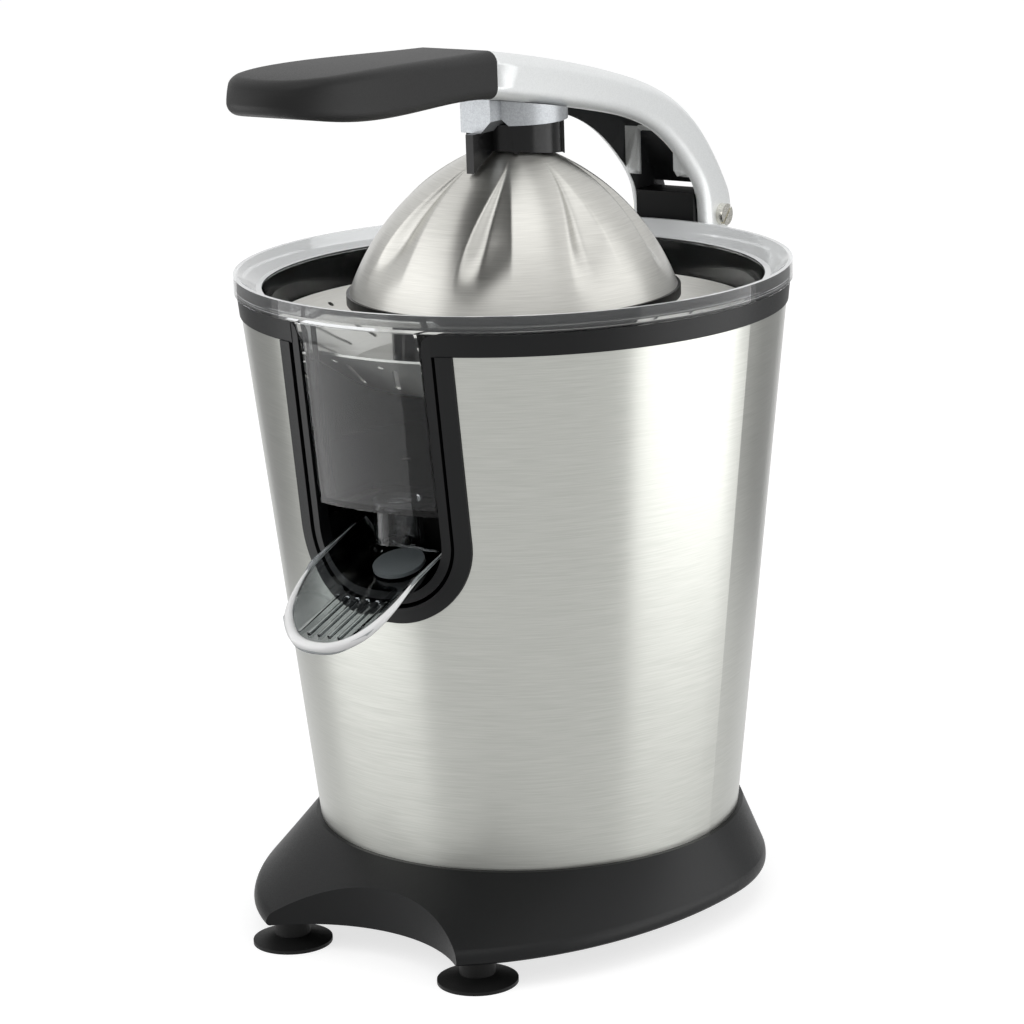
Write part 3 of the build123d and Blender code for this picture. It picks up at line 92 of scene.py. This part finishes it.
# Camera, at the photograph's place: 34 degrees to the right of the spout and 14 degrees up
view_azimuth = math.radians(34)
view_pitch = math.radians(14.3)
view_roll = math.radians(-1.84)
camera_place = (0.6725, -1.0023, 0.442)
sensor_mm = 36
focal_pixels, photo_pixels = 3600, 1024
right = Vector((math.cos(view_azimuth), math.sin(view_azimuth), 0))
level = Vector((-math.sin(view_azimuth), math.cos(view_azimuth), 0))
forward = level * math.cos(view_pitch) - Vector((0, 0, 1)) * math.sin(view_pitch)
upward = right.cross(forward)
camera_right = right * math.cos(view_roll) + upward * math.sin(view_roll)
camera_up = upward * math.cos(view_roll) - right * math.sin(view_roll)
camera_data = bpy.data.cameras.new("camera")
camera_data.sensor_width = sensor_mm
camera_data.lens = sensor_mm * focal_pixels / photo_pixels
camera_data.clip_end = 20
camera = bpy.data.objects.new("camera", camera_data)
camera.matrix_world = Matrix((camera_right, camera_up, -forward)).transposed().to_4x4()
camera.location = camera_place
bpy.context.scene.collection.objects.link(camera)
bpy.context.scene.camera = camera
bpy.context.scene.view_settings.view_transform = "Standard"

# Studio, in metres. A turn is in degrees from the camera, to its right.
body_middle = Vector((0, 0, 0.17))


def studio_place(turn, distance, height):
    """The compass angle of a turn from the camera, and the point that far out along it."""
    angle = view_azimuth - math.pi / 2 + math.radians(turn)
    return angle, Vector((distance * math.cos(angle), distance * math.sin(angle), height))


def softbox(name, turn, height, distance, width, tall, radiance):
    """An area lamp that faces the body."""
    lamp = bpy.data.lights.new(name, "AREA")
    lamp.shape = "RECTANGLE"
    lamp.size = width
    lamp.size_y = tall
    lamp.energy = radiance * math.pi * width * tall
    _, place = studio_place(turn, distance, height)
    lamp_object = bpy.data.objects.new(name, lamp)
    lamp_object.location = place
    lamp_object.rotation_euler = (body_middle - place).to_track_quat("-Z", "Y").to_euler()
    bpy.context.scene.collection.objects.link(lamp_object)


# Broad lamps on both sides and one overhead
softbox("softbox_left", turn=-80, height=0.7, distance=1.3, width=1.2, tall=1.2, radiance=1.1)
softbox("softbox_right", turn=80, height=0.7, distance=1.3, width=1.2, tall=1.2, radiance=1.1)
softbox("softbox_above", turn=10, height=1.7, distance=0.35, width=1.0, tall=1.0, radiance=1.3)


def reflector(name, turn, height, distance, width, tall, radiance):
    """An upright card that only shows in shiny surfaces."""
    bpy.ops.object.select_all(action="DESELECT")
    angle, place = studio_place(turn, distance, height)
    bpy.ops.mesh.primitive_plane_add(size=1, location=place)
    board = bpy.context.object
    board.name = name
    board.scale = (width, tall, 1)
    board.rotation_euler = (math.pi / 2, 0, angle + math.pi / 2)
    bpy.ops.object.transform_apply(location=False, rotation=True, scale=True)
    card, tree = blank_material(name + " card")
    glow = add_node(tree, "ShaderNodeEmission", {"Color": linear("#ffffff"), "Strength": radiance})
    add_node(tree, "ShaderNodeOutputMaterial", {"Surface": glow.outputs[0]})
    board.data.materials.append(card)
    board.visible_camera = False
    board.visible_diffuse = False
    board.visible_transmission = False
    board.visible_shadow = False


# Bright boards give the steel its light upright bands, and dim flags the grey ones at its edges
reflector("board_left", turn=-73, height=0.12, distance=0.36, width=0.37, tall=0.24, radiance=3.4)
reflector("board_right", turn=73, height=0.12, distance=0.36, width=0.37, tall=0.24, radiance=3.4)
reflector("board_high", turn=82, height=0.72, distance=0.60, width=0.60, tall=0.60, radiance=1.6)
reflector("flag_left", turn=-124, height=0.15, distance=0.36, width=0.26, tall=0.30, radiance=0.45)
reflector("flag_right", turn=124, height=0.15, distance=0.36, width=0.26, tall=0.30, radiance=0.45)

# World: plain soft light, white where the camera, metal and clear plastic look past the object
soft_strength, white_strength = 0.62, 1.0
world = bpy.data.worlds.new("studio")
bpy.context.scene.world = world
world.use_nodes = True
air = world.node_tree
air.nodes.clear()
seen = seen_rays(air)
soft_air = add_node(air, "ShaderNodeBackground", {
    "Color": linear("#ffffff"), "Strength": soft_strength})
white_air = add_node(air, "ShaderNodeBackground", {
    "Color": linear("#ffffff"), "Strength": white_strength})
air_mix = add_node(air, "ShaderNodeMixShader", {
    0: seen, 1: soft_air.outputs[0], 2: white_air.outputs[0]})
add_node(air, "ShaderNodeOutputWorld", {"Surface": air_mix.outputs[0]})

# Floor: matt white paper that keeps a faint shadow
floor_size, paper_lift = 8, 0.72
bpy.ops.object.select_all(action="DESELECT")
bpy.ops.mesh.primitive_plane_add(size=floor_size, location=(0, 0, 0))
floor = bpy.context.object
floor.name = "floor"
paper, tree = blank_material("white studio paper")
glow = add_node(tree, "ShaderNodeMath", {0: seen_rays(tree), 1: paper_lift}, operation="MULTIPLY")
matt = add_node(tree, "ShaderNodeBsdfDiffuse", {"Color": linear("#b4b4b4")})
lift = add_node(tree, "ShaderNodeEmission", {
    "Color": linear("#ffffff"), "Strength": glow.outputs[0]})
whole = add_node(tree, "ShaderNodeAddShader", {0: matt.outputs[0], 1: lift.outputs[0]})
add_node(tree, "ShaderNodeOutputMaterial", {"Surface": whole.outputs[0]})
floor.data.materials.append(paper)

# Finishes. A pattern's scale is one over its size. Real brush lines, moulding grain and lacquer
# flakes are finer than a pixel, so they are drawn as coarse as they need to be to show.
noise_low, noise_high = 0.3, 0.7          # most of a noise pattern's values lie between these
line_low, line_high = 0.25, 0.75          # the same for brush lines
line_swing = 0.03                         # how far brush lines take the roughness either way
grain_smoother, grain_rougher = 0.04, 0.06
marks_smoother, marks_rougher = 0.03, 0.05
clear_smooth, clear_rough = 0.02, 0.05
facing_side, facing_up = 0.15, 0.5        # how far a clear face looks up, as a side and as a top
plastic_ior = 1.5
cloud_mm, flake_mm, ripple_mm = 60, 0.35, 18
flake_relief_mm, ripple_relief_mm = 0.02, 0.4


def brushed_stainless(name, colour, shade, streak_mm, line_mm, roughness):
    """Stainless sheet brushed round its axis: level lines, and reflections drawn out across."""
    material, tree = blank_material(name)
    place = add_node(tree, "ShaderNodeTexCoord")
    streak_scale, line_scale = 1 / (streak_mm * mm), 1 / (line_mm * mm)
    stretch = add_node(tree, "ShaderNodeMapping", {
        "Vector": place.outputs["Object"], "Scale": (streak_scale, streak_scale, line_scale)})
    lines = add_node(tree, "ShaderNodeTexNoise", {
        "Vector": stretch.outputs[0], "Scale": 1.0, "Detail": 2.0, "Roughness": 0.55})
    ramp = add_node(tree, "ShaderNodeValToRGB", {"Fac": lines.outputs["Fac"]})
    for stop, at, tone in zip(ramp.color_ramp.elements, (noise_low, noise_high), (shade, colour)):
        stop.position, stop.color = at, linear(tone)
    rough = add_node(tree, "ShaderNodeMapRange", {
        "Value": lines.outputs["Fac"], "From Min": line_low, "From Max": line_high,
        "To Min": roughness - line_swing, "To Max": roughness + line_swing})
    round_axis = add_node(tree, "ShaderNodeTangent", direction_type="RADIAL", axis="Z")
    metal = add_node(tree, "ShaderNodeBsdfPrincipled", {
        "Base Color": ramp.outputs["Color"], "Metallic": 1.0, "Roughness": rough.outputs[0],
        "Anisotropic": 0.8, "Anisotropic Rotation": 0.25, "Tangent": round_axis.outputs[0]})
    add_node(tree, "ShaderNodeOutputMaterial", {"Surface": metal.outputs[0]})
    return material


def moulded(name, colour, shade, grain_mm, roughness, relief_mm, gloss=0.5):
    """Moulded polymer: an even colour with the fine grain of the tool's spark-eroded face."""
    material, tree = blank_material(name)
    place = add_node(tree, "ShaderNodeTexCoord")
    grain = add_node(tree, "ShaderNodeTexNoise", {
        "Vector": place.outputs["Object"], "Scale": 1 / (grain_mm * mm), "Detail": 2.0})
    cloud = add_node(tree, "ShaderNodeTexNoise", {
        "Vector": place.outputs["Object"], "Scale": 1 / (cloud_mm * mm)})
    ramp = add_node(tree, "ShaderNodeValToRGB", {"Fac": cloud.outputs["Fac"]})
    for stop, at, tone in zip(ramp.color_ramp.elements, (noise_low, noise_high), (shade, colour)):
        stop.position, stop.color = at, linear(tone)
    rough = add_node(tree, "ShaderNodeMapRange", {
        "Value": grain.outputs["Fac"], "From Min": noise_low, "From Max": noise_high,
        "To Min": roughness - grain_smoother, "To Max": roughness + grain_rougher})
    relief = add_node(tree, "ShaderNodeBump", {
        "Height": grain.outputs["Fac"], "Strength": 0.35, "Distance": relief_mm * mm})
    plastic = add_node(tree, "ShaderNodeBsdfPrincipled", {
        "Base Color": ramp.outputs["Color"], "Roughness": rough.outputs[0], "IOR": plastic_ior,
        "Specular IOR Level": gloss, "Normal": relief.outputs[0]})
    add_node(tree, "ShaderNodeOutputMaterial", {"Surface": plastic.outputs[0]})
    return material


def plated(name, colour, shade, grain_mm, roughness):
    """Plated or turned metal: even and fairly bright, with faint marks of its working."""
    material, tree = blank_material(name)
    place = add_node(tree, "ShaderNodeTexCoord")
    marks = add_node(tree, "ShaderNodeTexNoise", {
        "Vector": place.outputs["Object"], "Scale": 1 / (grain_mm * mm), "Detail": 3.0})
    ramp = add_node(tree, "ShaderNodeValToRGB", {"Fac": marks.outputs["Fac"]})
    for stop, at, tone in zip(ramp.color_ramp.elements, (noise_low, noise_high), (shade, colour)):
        stop.position, stop.color = at, linear(tone)
    rough = add_node(tree, "ShaderNodeMapRange", {
        "Value": marks.outputs["Fac"], "From Min": noise_low, "From Max": noise_high,
        "To Min": roughness - marks_smoother, "To Max": roughness + marks_rougher})
    metal = add_node(tree, "ShaderNodeBsdfPrincipled", {
        "Base Color": ramp.outputs["Color"], "Metallic": 1.0, "Roughness": rough.outputs[0]})
    add_node(tree, "ShaderNodeOutputMaterial", {"Surface": metal.outputs[0]})
    return material


def silver_lacquer(name, colour, shade, metal, roughness):
    """Satin silver lacquer on a casting: metal flakes under a thin clear coat."""
    material, tree = blank_material(name)
    place = add_node(tree, "ShaderNodeTexCoord")
    flakes = add_node(tree, "ShaderNodeTexVoronoi", {
        "Vector": place.outputs["Object"], "Scale": 1 / (flake_mm * mm)})
    ramp = add_node(tree, "ShaderNodeValToRGB", {"Fac": flakes.outputs["Color"]})
    for stop, tone in zip(ramp.color_ramp.elements, (shade, colour)):
        stop.color = linear(tone)
    relief = add_node(tree, "ShaderNodeBump", {
        "Height": flakes.outputs["Distance"], "Strength": 0.08, "Distance": flake_relief_mm * mm})
    lacquer = add_node(tree, "ShaderNodeBsdfPrincipled", {
        "Base Color": ramp.outputs["Color"], "Metallic": metal, "Roughness": roughness,
        "Coat Weight": 0.1, "Coat Roughness": 0.25, "Normal": relief.outputs[0]})
    add_node(tree, "ShaderNodeOutputMaterial", {"Surface": lacquer.outputs[0]})
    return material


def clear_moulding(name, colour, rim_mm, haze_and_light_up, haze_and_light_side, mirror):
    """Clear moulded plastic: glassy, paled above one height by haze and painted light, most on its
    tops.
    """
    material, tree = blank_material(name)
    place = add_node(tree, "ShaderNodeTexCoord")
    spot = add_node(tree, "ShaderNodeSeparateXYZ", {0: place.outputs["Object"]})
    facing = add_node(tree, "ShaderNodeSeparateXYZ", {0: place.outputs["Normal"]})
    # Painted light with the haze: above the rim's height, faces that look up are made paler
    haze_and_light = add_node(tree, "ShaderNodeMapRange", {
        "Value": facing.outputs["Z"], "From Min": facing_side, "From Max": facing_up,
        "To Min": haze_and_light_side, "To Max": haze_and_light_up})
    rim = add_node(tree, "ShaderNodeMath", {
        0: spot.outputs["Z"], 1: rim_mm * mm}, operation="GREATER_THAN")
    rim_haze_and_light = add_node(tree, "ShaderNodeMath", {
        0: haze_and_light.outputs[0], 1: rim.outputs[0]}, operation="MULTIPLY")
    clear = add_node(tree, "ShaderNodeMath", {0: 1.0, 1: rim_haze_and_light.outputs[0]}, operation="SUBTRACT")
    ripple = add_node(tree, "ShaderNodeTexNoise", {
        "Vector": place.outputs["Object"], "Scale": 1 / (ripple_mm * mm)})
    relief = add_node(tree, "ShaderNodeBump", {
        "Height": ripple.outputs["Fac"], "Strength": 0.05, "Distance": ripple_relief_mm * mm})
    rough = add_node(tree, "ShaderNodeMapRange", {
        "Value": ripple.outputs["Fac"], "From Min": noise_low, "From Max": noise_high,
        "To Min": clear_smooth, "To Max": clear_rough})
    plastic = add_node(tree, "ShaderNodeBsdfPrincipled", {
        "Base Color": linear(colour), "Transmission Weight": clear.outputs[0],
        "Roughness": rough.outputs[0], "IOR": plastic_ior, "Specular Tint": linear(mirror),
        "Normal": relief.outputs[0]})
    add_node(tree, "ShaderNodeOutputMaterial", {"Surface": plastic.outputs[0]})
    return material


finishes = {
    # Upright bands of light over faint level lines
    "stainless_steel": brushed_stainless(
        "brushed stainless steel", "#b3b4af", "#a7a8a3", streak_mm=14, line_mm=0.3, roughness=0.34),
    # Near black with a soft, dim sheen
    "dark_plastic": moulded(
        "grained dark ABS", "#0e0f10", "#0b0c0d",
        grain_mm=0.5, roughness=0.42, relief_mm=0.02, gloss=0.2),
    # Black with sharper highlights
    "black_plastic": moulded(
        "smooth black ABS", "#0a0a0b", "#070708",
        grain_mm=1.2, roughness=0.2, relief_mm=0.01, gloss=0.22),
    # Glassy walls, and a rim paled by haze and painted light, most where it looks up
    "clear_plastic": clear_moulding(
        "clear moulded SAN", "#f2f4f5", rim_mm=216.5, haze_and_light_up=0.78, haze_and_light_side=0.08,
        mirror="#949494"),
    # A matt dark grey with no sharp highlight
    "soft_grip": moulded(
        "soft-touch TPE", "#1c1c1c", "#181818",
        grain_mm=0.4, roughness=0.5, relief_mm=0.03, gloss=0.22),
    # A light, even silver with a faint sparkle
    "silver_paint": silver_lacquer(
        "satin silver lacquer", "#ebeded", "#e1e3e3", metal=0.3, roughness=0.4),
    # A bright and slightly warm metal
    "nickel_plate": plated("nickel plate", "#e6e4dc", "#d4d2ca", grain_mm=1.5, roughness=0.24),
    # An even mid grey with a dull shine
    "silicone": moulded(
        "grey silicone", "#686e70", "#62686a",
        grain_mm=0.8, roughness=0.4, relief_mm=0.02, gloss=0.3),
    # Dull black
    "black_rubber": moulded(
        "black moulded rubber", "#101010", "#0d0d0d",
        grain_mm=0.6, roughness=0.5, relief_mm=0.03, gloss=0.2),
    # A pale, faintly mottled grey metal
    "zinc_steel": plated("zinc plated steel", "#b9bab8", "#a6a7a4", grain_mm=1.0, roughness=0.3),
    # A darker grey metal with fine tool marks
    "machined_steel": plated("turned steel", "#a8a8a6", "#959593", grain_mm=0.8, roughness=0.28),
    # A dark, smooth satin
    "motor_paint": moulded(
        "baked black enamel", "#2a2c2e", "#252729", grain_mm=0.7, roughness=0.35, relief_mm=0.02),
    # A dull brown metal
    "bronze_bush": plated("sintered bronze", "#a9855a", "#93714a", grain_mm=0.5, roughness=0.45),
    # A waxy cream
    "natural_nylon": moulded(
        "natural nylon", "#e2dcca", "#d8d1bd", grain_mm=0.9, roughness=0.45, relief_mm=0.02),
}

node_finishes = {
    # A paler steel than the body's: painted light, for the flat sheet that lies square under the
    # lamps
    "strainer": brushed_stainless(
        "pressed stainless sheet with painted light", "#d9d8d3", "#cfcec9", streak_mm=10, line_mm=0.3, roughness=0.36),
    # A greyer, more metallic silver than the arm's
    "presser_mount": silver_lacquer(
        "satin chromed casting", "#abaeb1", "#939699", metal=0.6, roughness=0.36),
    # Softer bands than on the body, bright and dark on the two sides of each hollow
    "cone_shell": brushed_stainless(
        "brushed and domed stainless sheet", "#c6c5c0", "#b8b7b2",
        streak_mm=12, line_mm=0.3, roughness=0.36),
    # Glassy and grey, with no haze
    "spout_chute": clear_moulding(
        "clear moulded SAN chute", "#a2a7a9", rim_mm=0.0, haze_and_light_up=0.0, haze_and_light_side=0.0,
        mirror="#ffffff"),
    # The feet's dull black
    "cord_inlet": finishes["black_rubber"],
    # A dark hollow behind the spout
    "spout_recess": moulded(
        "matt black ABS", "#040404", "#030303",
        grain_mm=1.2, roughness=0.5, relief_mm=0.01, gloss=0.1),
    # A dark wall behind the clear bowl
    "inner_tub": moulded(
        "matt black ABS tub", "#050505", "#040404",
        grain_mm=1.2, roughness=0.4, relief_mm=0.01, gloss=0.15),
    # A black ring with a low sheen
    "cone_core": moulded(
        "satin black ABS", "#060606", "#050505",
        grain_mm=1.2, roughness=0.35, relief_mm=0.01, gloss=0.2),
}
for part in frame["record"]["subparts"]:
    piece = nodes[part["node"]]
    piece.data.materials.clear()
    piece.data.materials.append(node_finishes.get(part["node"], finishes[part["material_slot"]]))


# Reaming cone: a pressed dome with eight hollows, each with a soft side and a crisp one.
# From here on, lengths are in millimetres and angles in degrees.
dome_r, dome_in, dome_z = 79.4, 19.0, 187.2     # radius of the section's curve, and its centre
dome_low, dome_high = 19.34, 68.7               # turns up that curve, at the ring and the shoulder
dome_steps, points_round = 70, 360
cap_rings = [(6.6, 261.9), (3.3, 262.28)]       # radius and height of the rings over the shoulder
cap_r = 8                                       # nothing is pushed in nearer the axis than this
sheet_wall = 0.8
hollow_count, hollow_turn = 8, -56.3            # how many, and the compass angle of a crisp edge
hollow_spread, hollow_taper = 22.0, 2.2         # the lower end's width, and how fast it gets there
hollow_from, hollow_to = 0.07, 0.95             # shares of the way down the dome
hollow_slope = 0.19                             # depth as a share of the width
hollow_valley, flank_bend = 0.4, 1.2            # how far across it is deepest, and its sides' bend
hollow_fade = 0.58                              # the share of its length where it starts to run out


def dome_point(turn):
    """Radius and height of the dome at a turn up its curve."""
    climb = math.radians(turn)
    return dome_r * math.cos(climb) - dome_in, dome_z + dome_r * math.sin(climb)


def hollow_depth(angle, turn):
    """How far the hollow is pushed in at a compass angle and a turn up the dome."""
    share = (dome_high - turn) / (dome_high - dome_low)
    down = (share - hollow_from) / (hollow_to - hollow_from)
    if not 0 < down < 1:
        return 0
    spread = hollow_spread * (1 - (1 - down) ** hollow_taper)
    before_edge = (hollow_turn - angle) % (360 / hollow_count)
    if before_edge >= spread:
        return 0
    across = 1 - before_edge / spread
    if across < hollow_valley:
        dip = math.sin(math.pi / 2 * across / hollow_valley) ** flank_bend
    else:
        dip = 1 - ((across - hollow_valley) / (1 - hollow_valley)) ** flank_bend
    wide = math.radians(spread) * dome_point(turn)[0]
    run_out = max(0, (down - hollow_fade) / (1 - hollow_fade))
    return hollow_slope * wide * dip * (0.5 + 0.5 * math.cos(math.pi * run_out))


def plain_dome():
    """The dome's outer face: a circle extruded up its curve, ring by ring, and closed on top."""
    turns = [dome_low + (dome_high - dome_low) * n / dome_steps for n in range(dome_steps + 1)]
    rings = [dome_point(turn) for turn in turns] + cap_rings
    bpy.ops.object.select_all(action="DESELECT")
    bpy.ops.mesh.primitive_circle_add(vertices=points_round, radius=rings[0][0] * mm)
    bpy.ops.object.mode_set(mode="EDIT")
    bpy.ops.mesh.select_all(action="SELECT")
    bpy.ops.transform.translate(value=(0, 0, rings[0][1] * mm))
    for (r_low, z_low), (r_high, z_high) in zip(rings, rings[1:]):
        rise, shrink = (z_high - z_low) * mm, r_high / r_low
        bpy.ops.mesh.extrude_region_move(TRANSFORM_OT_translate={"value": (0, 0, rise)})
        bpy.ops.transform.resize(value=(shrink, shrink, 1), center_override=(0, 0, z_high * mm))
    bpy.ops.mesh.edge_face_add()
    bpy.ops.mesh.poke()
    bpy.ops.mesh.select_all(action="SELECT")
    bpy.ops.mesh.normals_make_consistent(inside=False)
    bpy.ops.object.mode_set(mode="OBJECT")
    return bpy.context.object


def press_hollows(dome):
    """Pushes the dome's points in, square to its curve, where there is a hollow."""
    for point in dome.data.vertices:
        radius = math.hypot(point.co.x, point.co.y) / mm
        if radius < cap_r:
            continue
        climb = math.atan2(point.co.z / mm - dome_z, radius + dome_in)
        angle = math.degrees(math.atan2(point.co.y, point.co.x))
        push = hollow_depth(angle, math.degrees(climb))
        keep = (radius - push * math.cos(climb)) / radius
        point.co.x *= keep
        point.co.y *= keep
        point.co.z -= push * math.sin(climb) * mm


def reaming_cone():
    """The dome with its hollows pressed in and its sheet given its wall."""
    cone = plain_dome()
    cone.name = "reaming_cone"
    press_hollows(cone)
    wall = cone.modifiers.new("wall", "SOLIDIFY")
    wall.thickness = sheet_wall * mm
    wall.offset = -1
    bpy.ops.object.modifier_apply(modifier="wall")
    bpy.ops.object.shade_smooth_by_angle(angle=math.radians(28))
    cone.data.materials.append(node_finishes["cone_shell"])
    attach(cone, "cone")
    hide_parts("cone_shell")


reaming_cone()

merge_within = 0.01


def merged_copy(node, name):
    """A copy of a CAD node with its doubled vertices merged, ready to be reshaped or refinished."""
    bpy.ops.object.select_all(action="DESELECT")
    piece = nodes[node].copy()
    piece.data = nodes[node].data.copy()
    piece.name = name
    bpy.context.scene.collection.objects.link(piece)
    piece.hide_render = False
    piece.select_set(True)
    bpy.context.view_layer.objects.active = piece
    bpy.ops.object.mode_set(mode="EDIT")
    bpy.ops.mesh.select_all(action="SELECT")
    bpy.ops.mesh.remove_doubles(threshold=merge_within * mm)
    bpy.ops.object.mode_set(mode="OBJECT")
    return piece


# Lever arm: the casting's own shape, lacquered outside, with painted shade on the faces inside its
# channel.
# The painted shade is a dull dark grey that makes the channel read as deep.
channel_painted_shade = moulded(
    "painted channel shade", "#2b2c2e", "#242527",
    grain_mm=0.6, roughness=0.5, relief_mm=0.03, gloss=0.4)
channel_half, channel_front_y, channel_low_z = 12.7, -21.9, 213
rib_from_y, rib_to_y = 93.5, 97
least_inward, least_downward = 0.5, 0.2         # how far a face has to look that way


def in_channel(face):
    """Whether a face of the arm looks into its channel, apart from the rib before the hinge."""
    middle = face.center / mm
    between = abs(middle.x) < channel_half and middle.y > channel_front_y
    rib = rib_from_y < middle.y < rib_to_y
    inward = face.normal.x * middle.x < -least_inward * abs(middle.x)
    downward = face.normal.z < -least_downward
    return between and middle.z > channel_low_z and not rib and (inward or downward)


def lever_arm():
    """The arm's merged copy, with painted shade on the faces inside its channel."""
    arm = merged_copy("lever_arm", "press_arm")
    arm.data.materials.clear()
    arm.data.materials.append(finishes["silver_paint"])
    arm.data.materials.append(channel_painted_shade)
    for face in arm.data.polygons:
        if in_channel(face):
            face.material_index = 1
    bpy.ops.object.shade_smooth_by_angle(angle=math.radians(30))
    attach(arm, "lever")
    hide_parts("lever_arm")


lever_arm()

# Grip: both halves pressed flatter towards the tip, and its tip sloped back at the top
grip_root_y, grip_long = -30.0, 110.0
grip_root_top_z, grip_rise = 298.0, 7.8         # the moulded top's height, and its rise to the tip
grip_base_z, grip_base_rise = 287.0, 6.0        # below this line nothing is lowered
rise_by, rise_bend = 0.8, 1.1                   # the share of the grip where that rise ends
grip_flatter = 4.5                              # how far the tip's top is lowered
flatter_by, flatter_bend = 0.85, 1.15           # the share of the grip where that is reached
tip_slope, tip_from = 5.0, 0.85


def eased(along, end, bend):
    """Goes from 0 at the grip's root to 1 at a share of its length, and levels off there."""
    return math.sin(math.pi / 2 * min(1, along / end)) ** bend


def soft_grip(node, name):
    """One half's merged copy, its upper part lowered along the grip and drawn back at the tip."""
    half = merged_copy(node, name)
    for point in half.data.vertices:
        x, y, z = point.co / mm
        along = min(max((grip_root_y - y) / grip_long, 0), 1)
        top = grip_root_top_z + grip_rise * eased(along, rise_by, rise_bend)
        base = grip_base_z + grip_base_rise * along
        high = min(max((z - base) / (top - base), 0), 1)
        z -= grip_flatter * high * eased(along, flatter_by, flatter_bend)
        y += tip_slope * high ** 2 * max(0, (along - tip_from) / (1 - tip_from))
        point.co = Vector((x, y, z)) * mm
    bpy.ops.mesh.customdata_custom_splitnormals_clear()
    bpy.ops.object.shade_smooth_by_angle(angle=math.radians(35))
    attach(half, "lever")
    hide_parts(node)


soft_grip("grip_upper", "grip_top")
soft_grip("grip_lower", "grip_under")

# Notch trim: the trim's own shape, with a dark gap left between it and the frame inside it.
# The notch's outline is a flat with a round corner on each side, under upright sides.
trim_gap = 1.3
trim_flat, trim_turn_z, trim_inner = 5.0, 145.5, 22.5    # half the flat, corners' centre, radius
trim_slack = 0.1                                # how far past that radius the inner wall may lie
body_taper = 0.108


def slim_trim():
    """The trim's merged copy, its inner wall moved outward along the body by the gap's width."""
    trim = merged_copy("notch_trim", "slim_trim")
    for point in trim.data.vertices:
        x, y, z = point.co / mm
        aside, below = max(abs(x) - trim_flat, 0), max(trim_turn_z - z, 0)
        reach = math.hypot(aside, below)
        if 0 < reach < trim_inner + trim_slack:
            move_z = -trim_gap * below / reach
            new_x = x + trim_gap * aside / reach * (1 if x > 0 else -1)
            radius = math.hypot(x, y) + body_taper * move_z
            new_y = -math.sqrt(radius ** 2 - new_x ** 2)
            point.co = Vector((new_x, new_y, z + move_z)) * mm
    bpy.ops.mesh.customdata_custom_splitnormals_clear()
    bpy.ops.object.shade_smooth_by_angle(angle=math.radians(20))
    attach(trim, "stand")
    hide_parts("notch_trim")


slim_trim()


# Return spring: the spring's own shape
def press_spring():
    """The spring's merged copy, which sits between the gearbox and the sinking carrier."""
    spring = merged_copy("return_spring", "press_spring")
    bpy.ops.object.shade_smooth_by_angle(angle=math.radians(30))
    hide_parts("return_spring")
    spring.parent = None                        # it follows two bodies, so it hangs from neither
    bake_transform(spring)


press_spring()

# Spout: a thick bead runs round the chute's lip and thins out along its sides.
# It carries a painted highlight all over, a white haze, so that it shows bright against the clear
# chute.
spout_pivot_y, spout_pivot_z, spout_tilt = -50.0, 134.0, math.radians(17)
# Half the lip in the chute's level frame: across, along and up from the pivot, and bead radius
lip_run = (
    (20.9, -14, 14.2, 0.3),
    (20.9, -30, 14.2, 0.4),
    (20.8, -42, 13.7, 0.55),
    (20.3, -51, 11.2, 0.9),
    (18.0, -60.5, 8.6, 1.5),
    (13.8, -67, 6.2, 1.75),
    (7.4, -71.6, 4.7, 1.8),
    (0, -72.6, 4.4, 1.8),
)
# The bead's painted highlight: a white haze on all its faces
bead_painted_highlight = clear_moulding(
    "clear SAN bead with painted highlight", "#ffffff", rim_mm=0.0, haze_and_light_up=0.9, haze_and_light_side=0.85, mirror="#ffffff")


def lip_curve():
    """The lip as one smooth curve with a round section, whose radius goes with the lip."""
    other_half = [(-across, *rest) for across, *rest in reversed(lip_run[:-1])]
    path = [*lip_run, *other_half]
    curve = bpy.data.curves.new("spout_bead", "CURVE")
    curve.dimensions = "3D"
    curve.bevel_depth = 1 * mm                  # a point's radius then counts in millimetres
    curve.bevel_resolution = 5
    curve.use_fill_caps = True
    line = curve.splines.new("NURBS")
    line.points.add(len(path) - 1)
    for point, (across, along, up, radius) in zip(line.points, path):
        flow = spout_pivot_y + along * math.cos(spout_tilt) - up * math.sin(spout_tilt)
        rise = spout_pivot_z + along * math.sin(spout_tilt) + up * math.cos(spout_tilt)
        point.co = (across * mm, flow * mm, rise * mm, 1)
        point.radius = radius
    line.order_u = 4
    line.use_endpoint_u = True
    line.resolution_u = 10
    return curve


def spout_bead():
    """The bead swept along the lip and made a mesh."""
    bpy.ops.object.select_all(action="DESELECT")
    bead = bpy.data.objects.new("spout_bead", lip_curve())
    bpy.context.scene.collection.objects.link(bead)
    bead.select_set(True)
    bpy.context.view_layer.objects.active = bead
    bpy.ops.object.convert(target="MESH")
    bpy.ops.object.shade_smooth()
    bead.data.materials.append(bead_painted_highlight)
    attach(bead, "spout")


spout_bead()
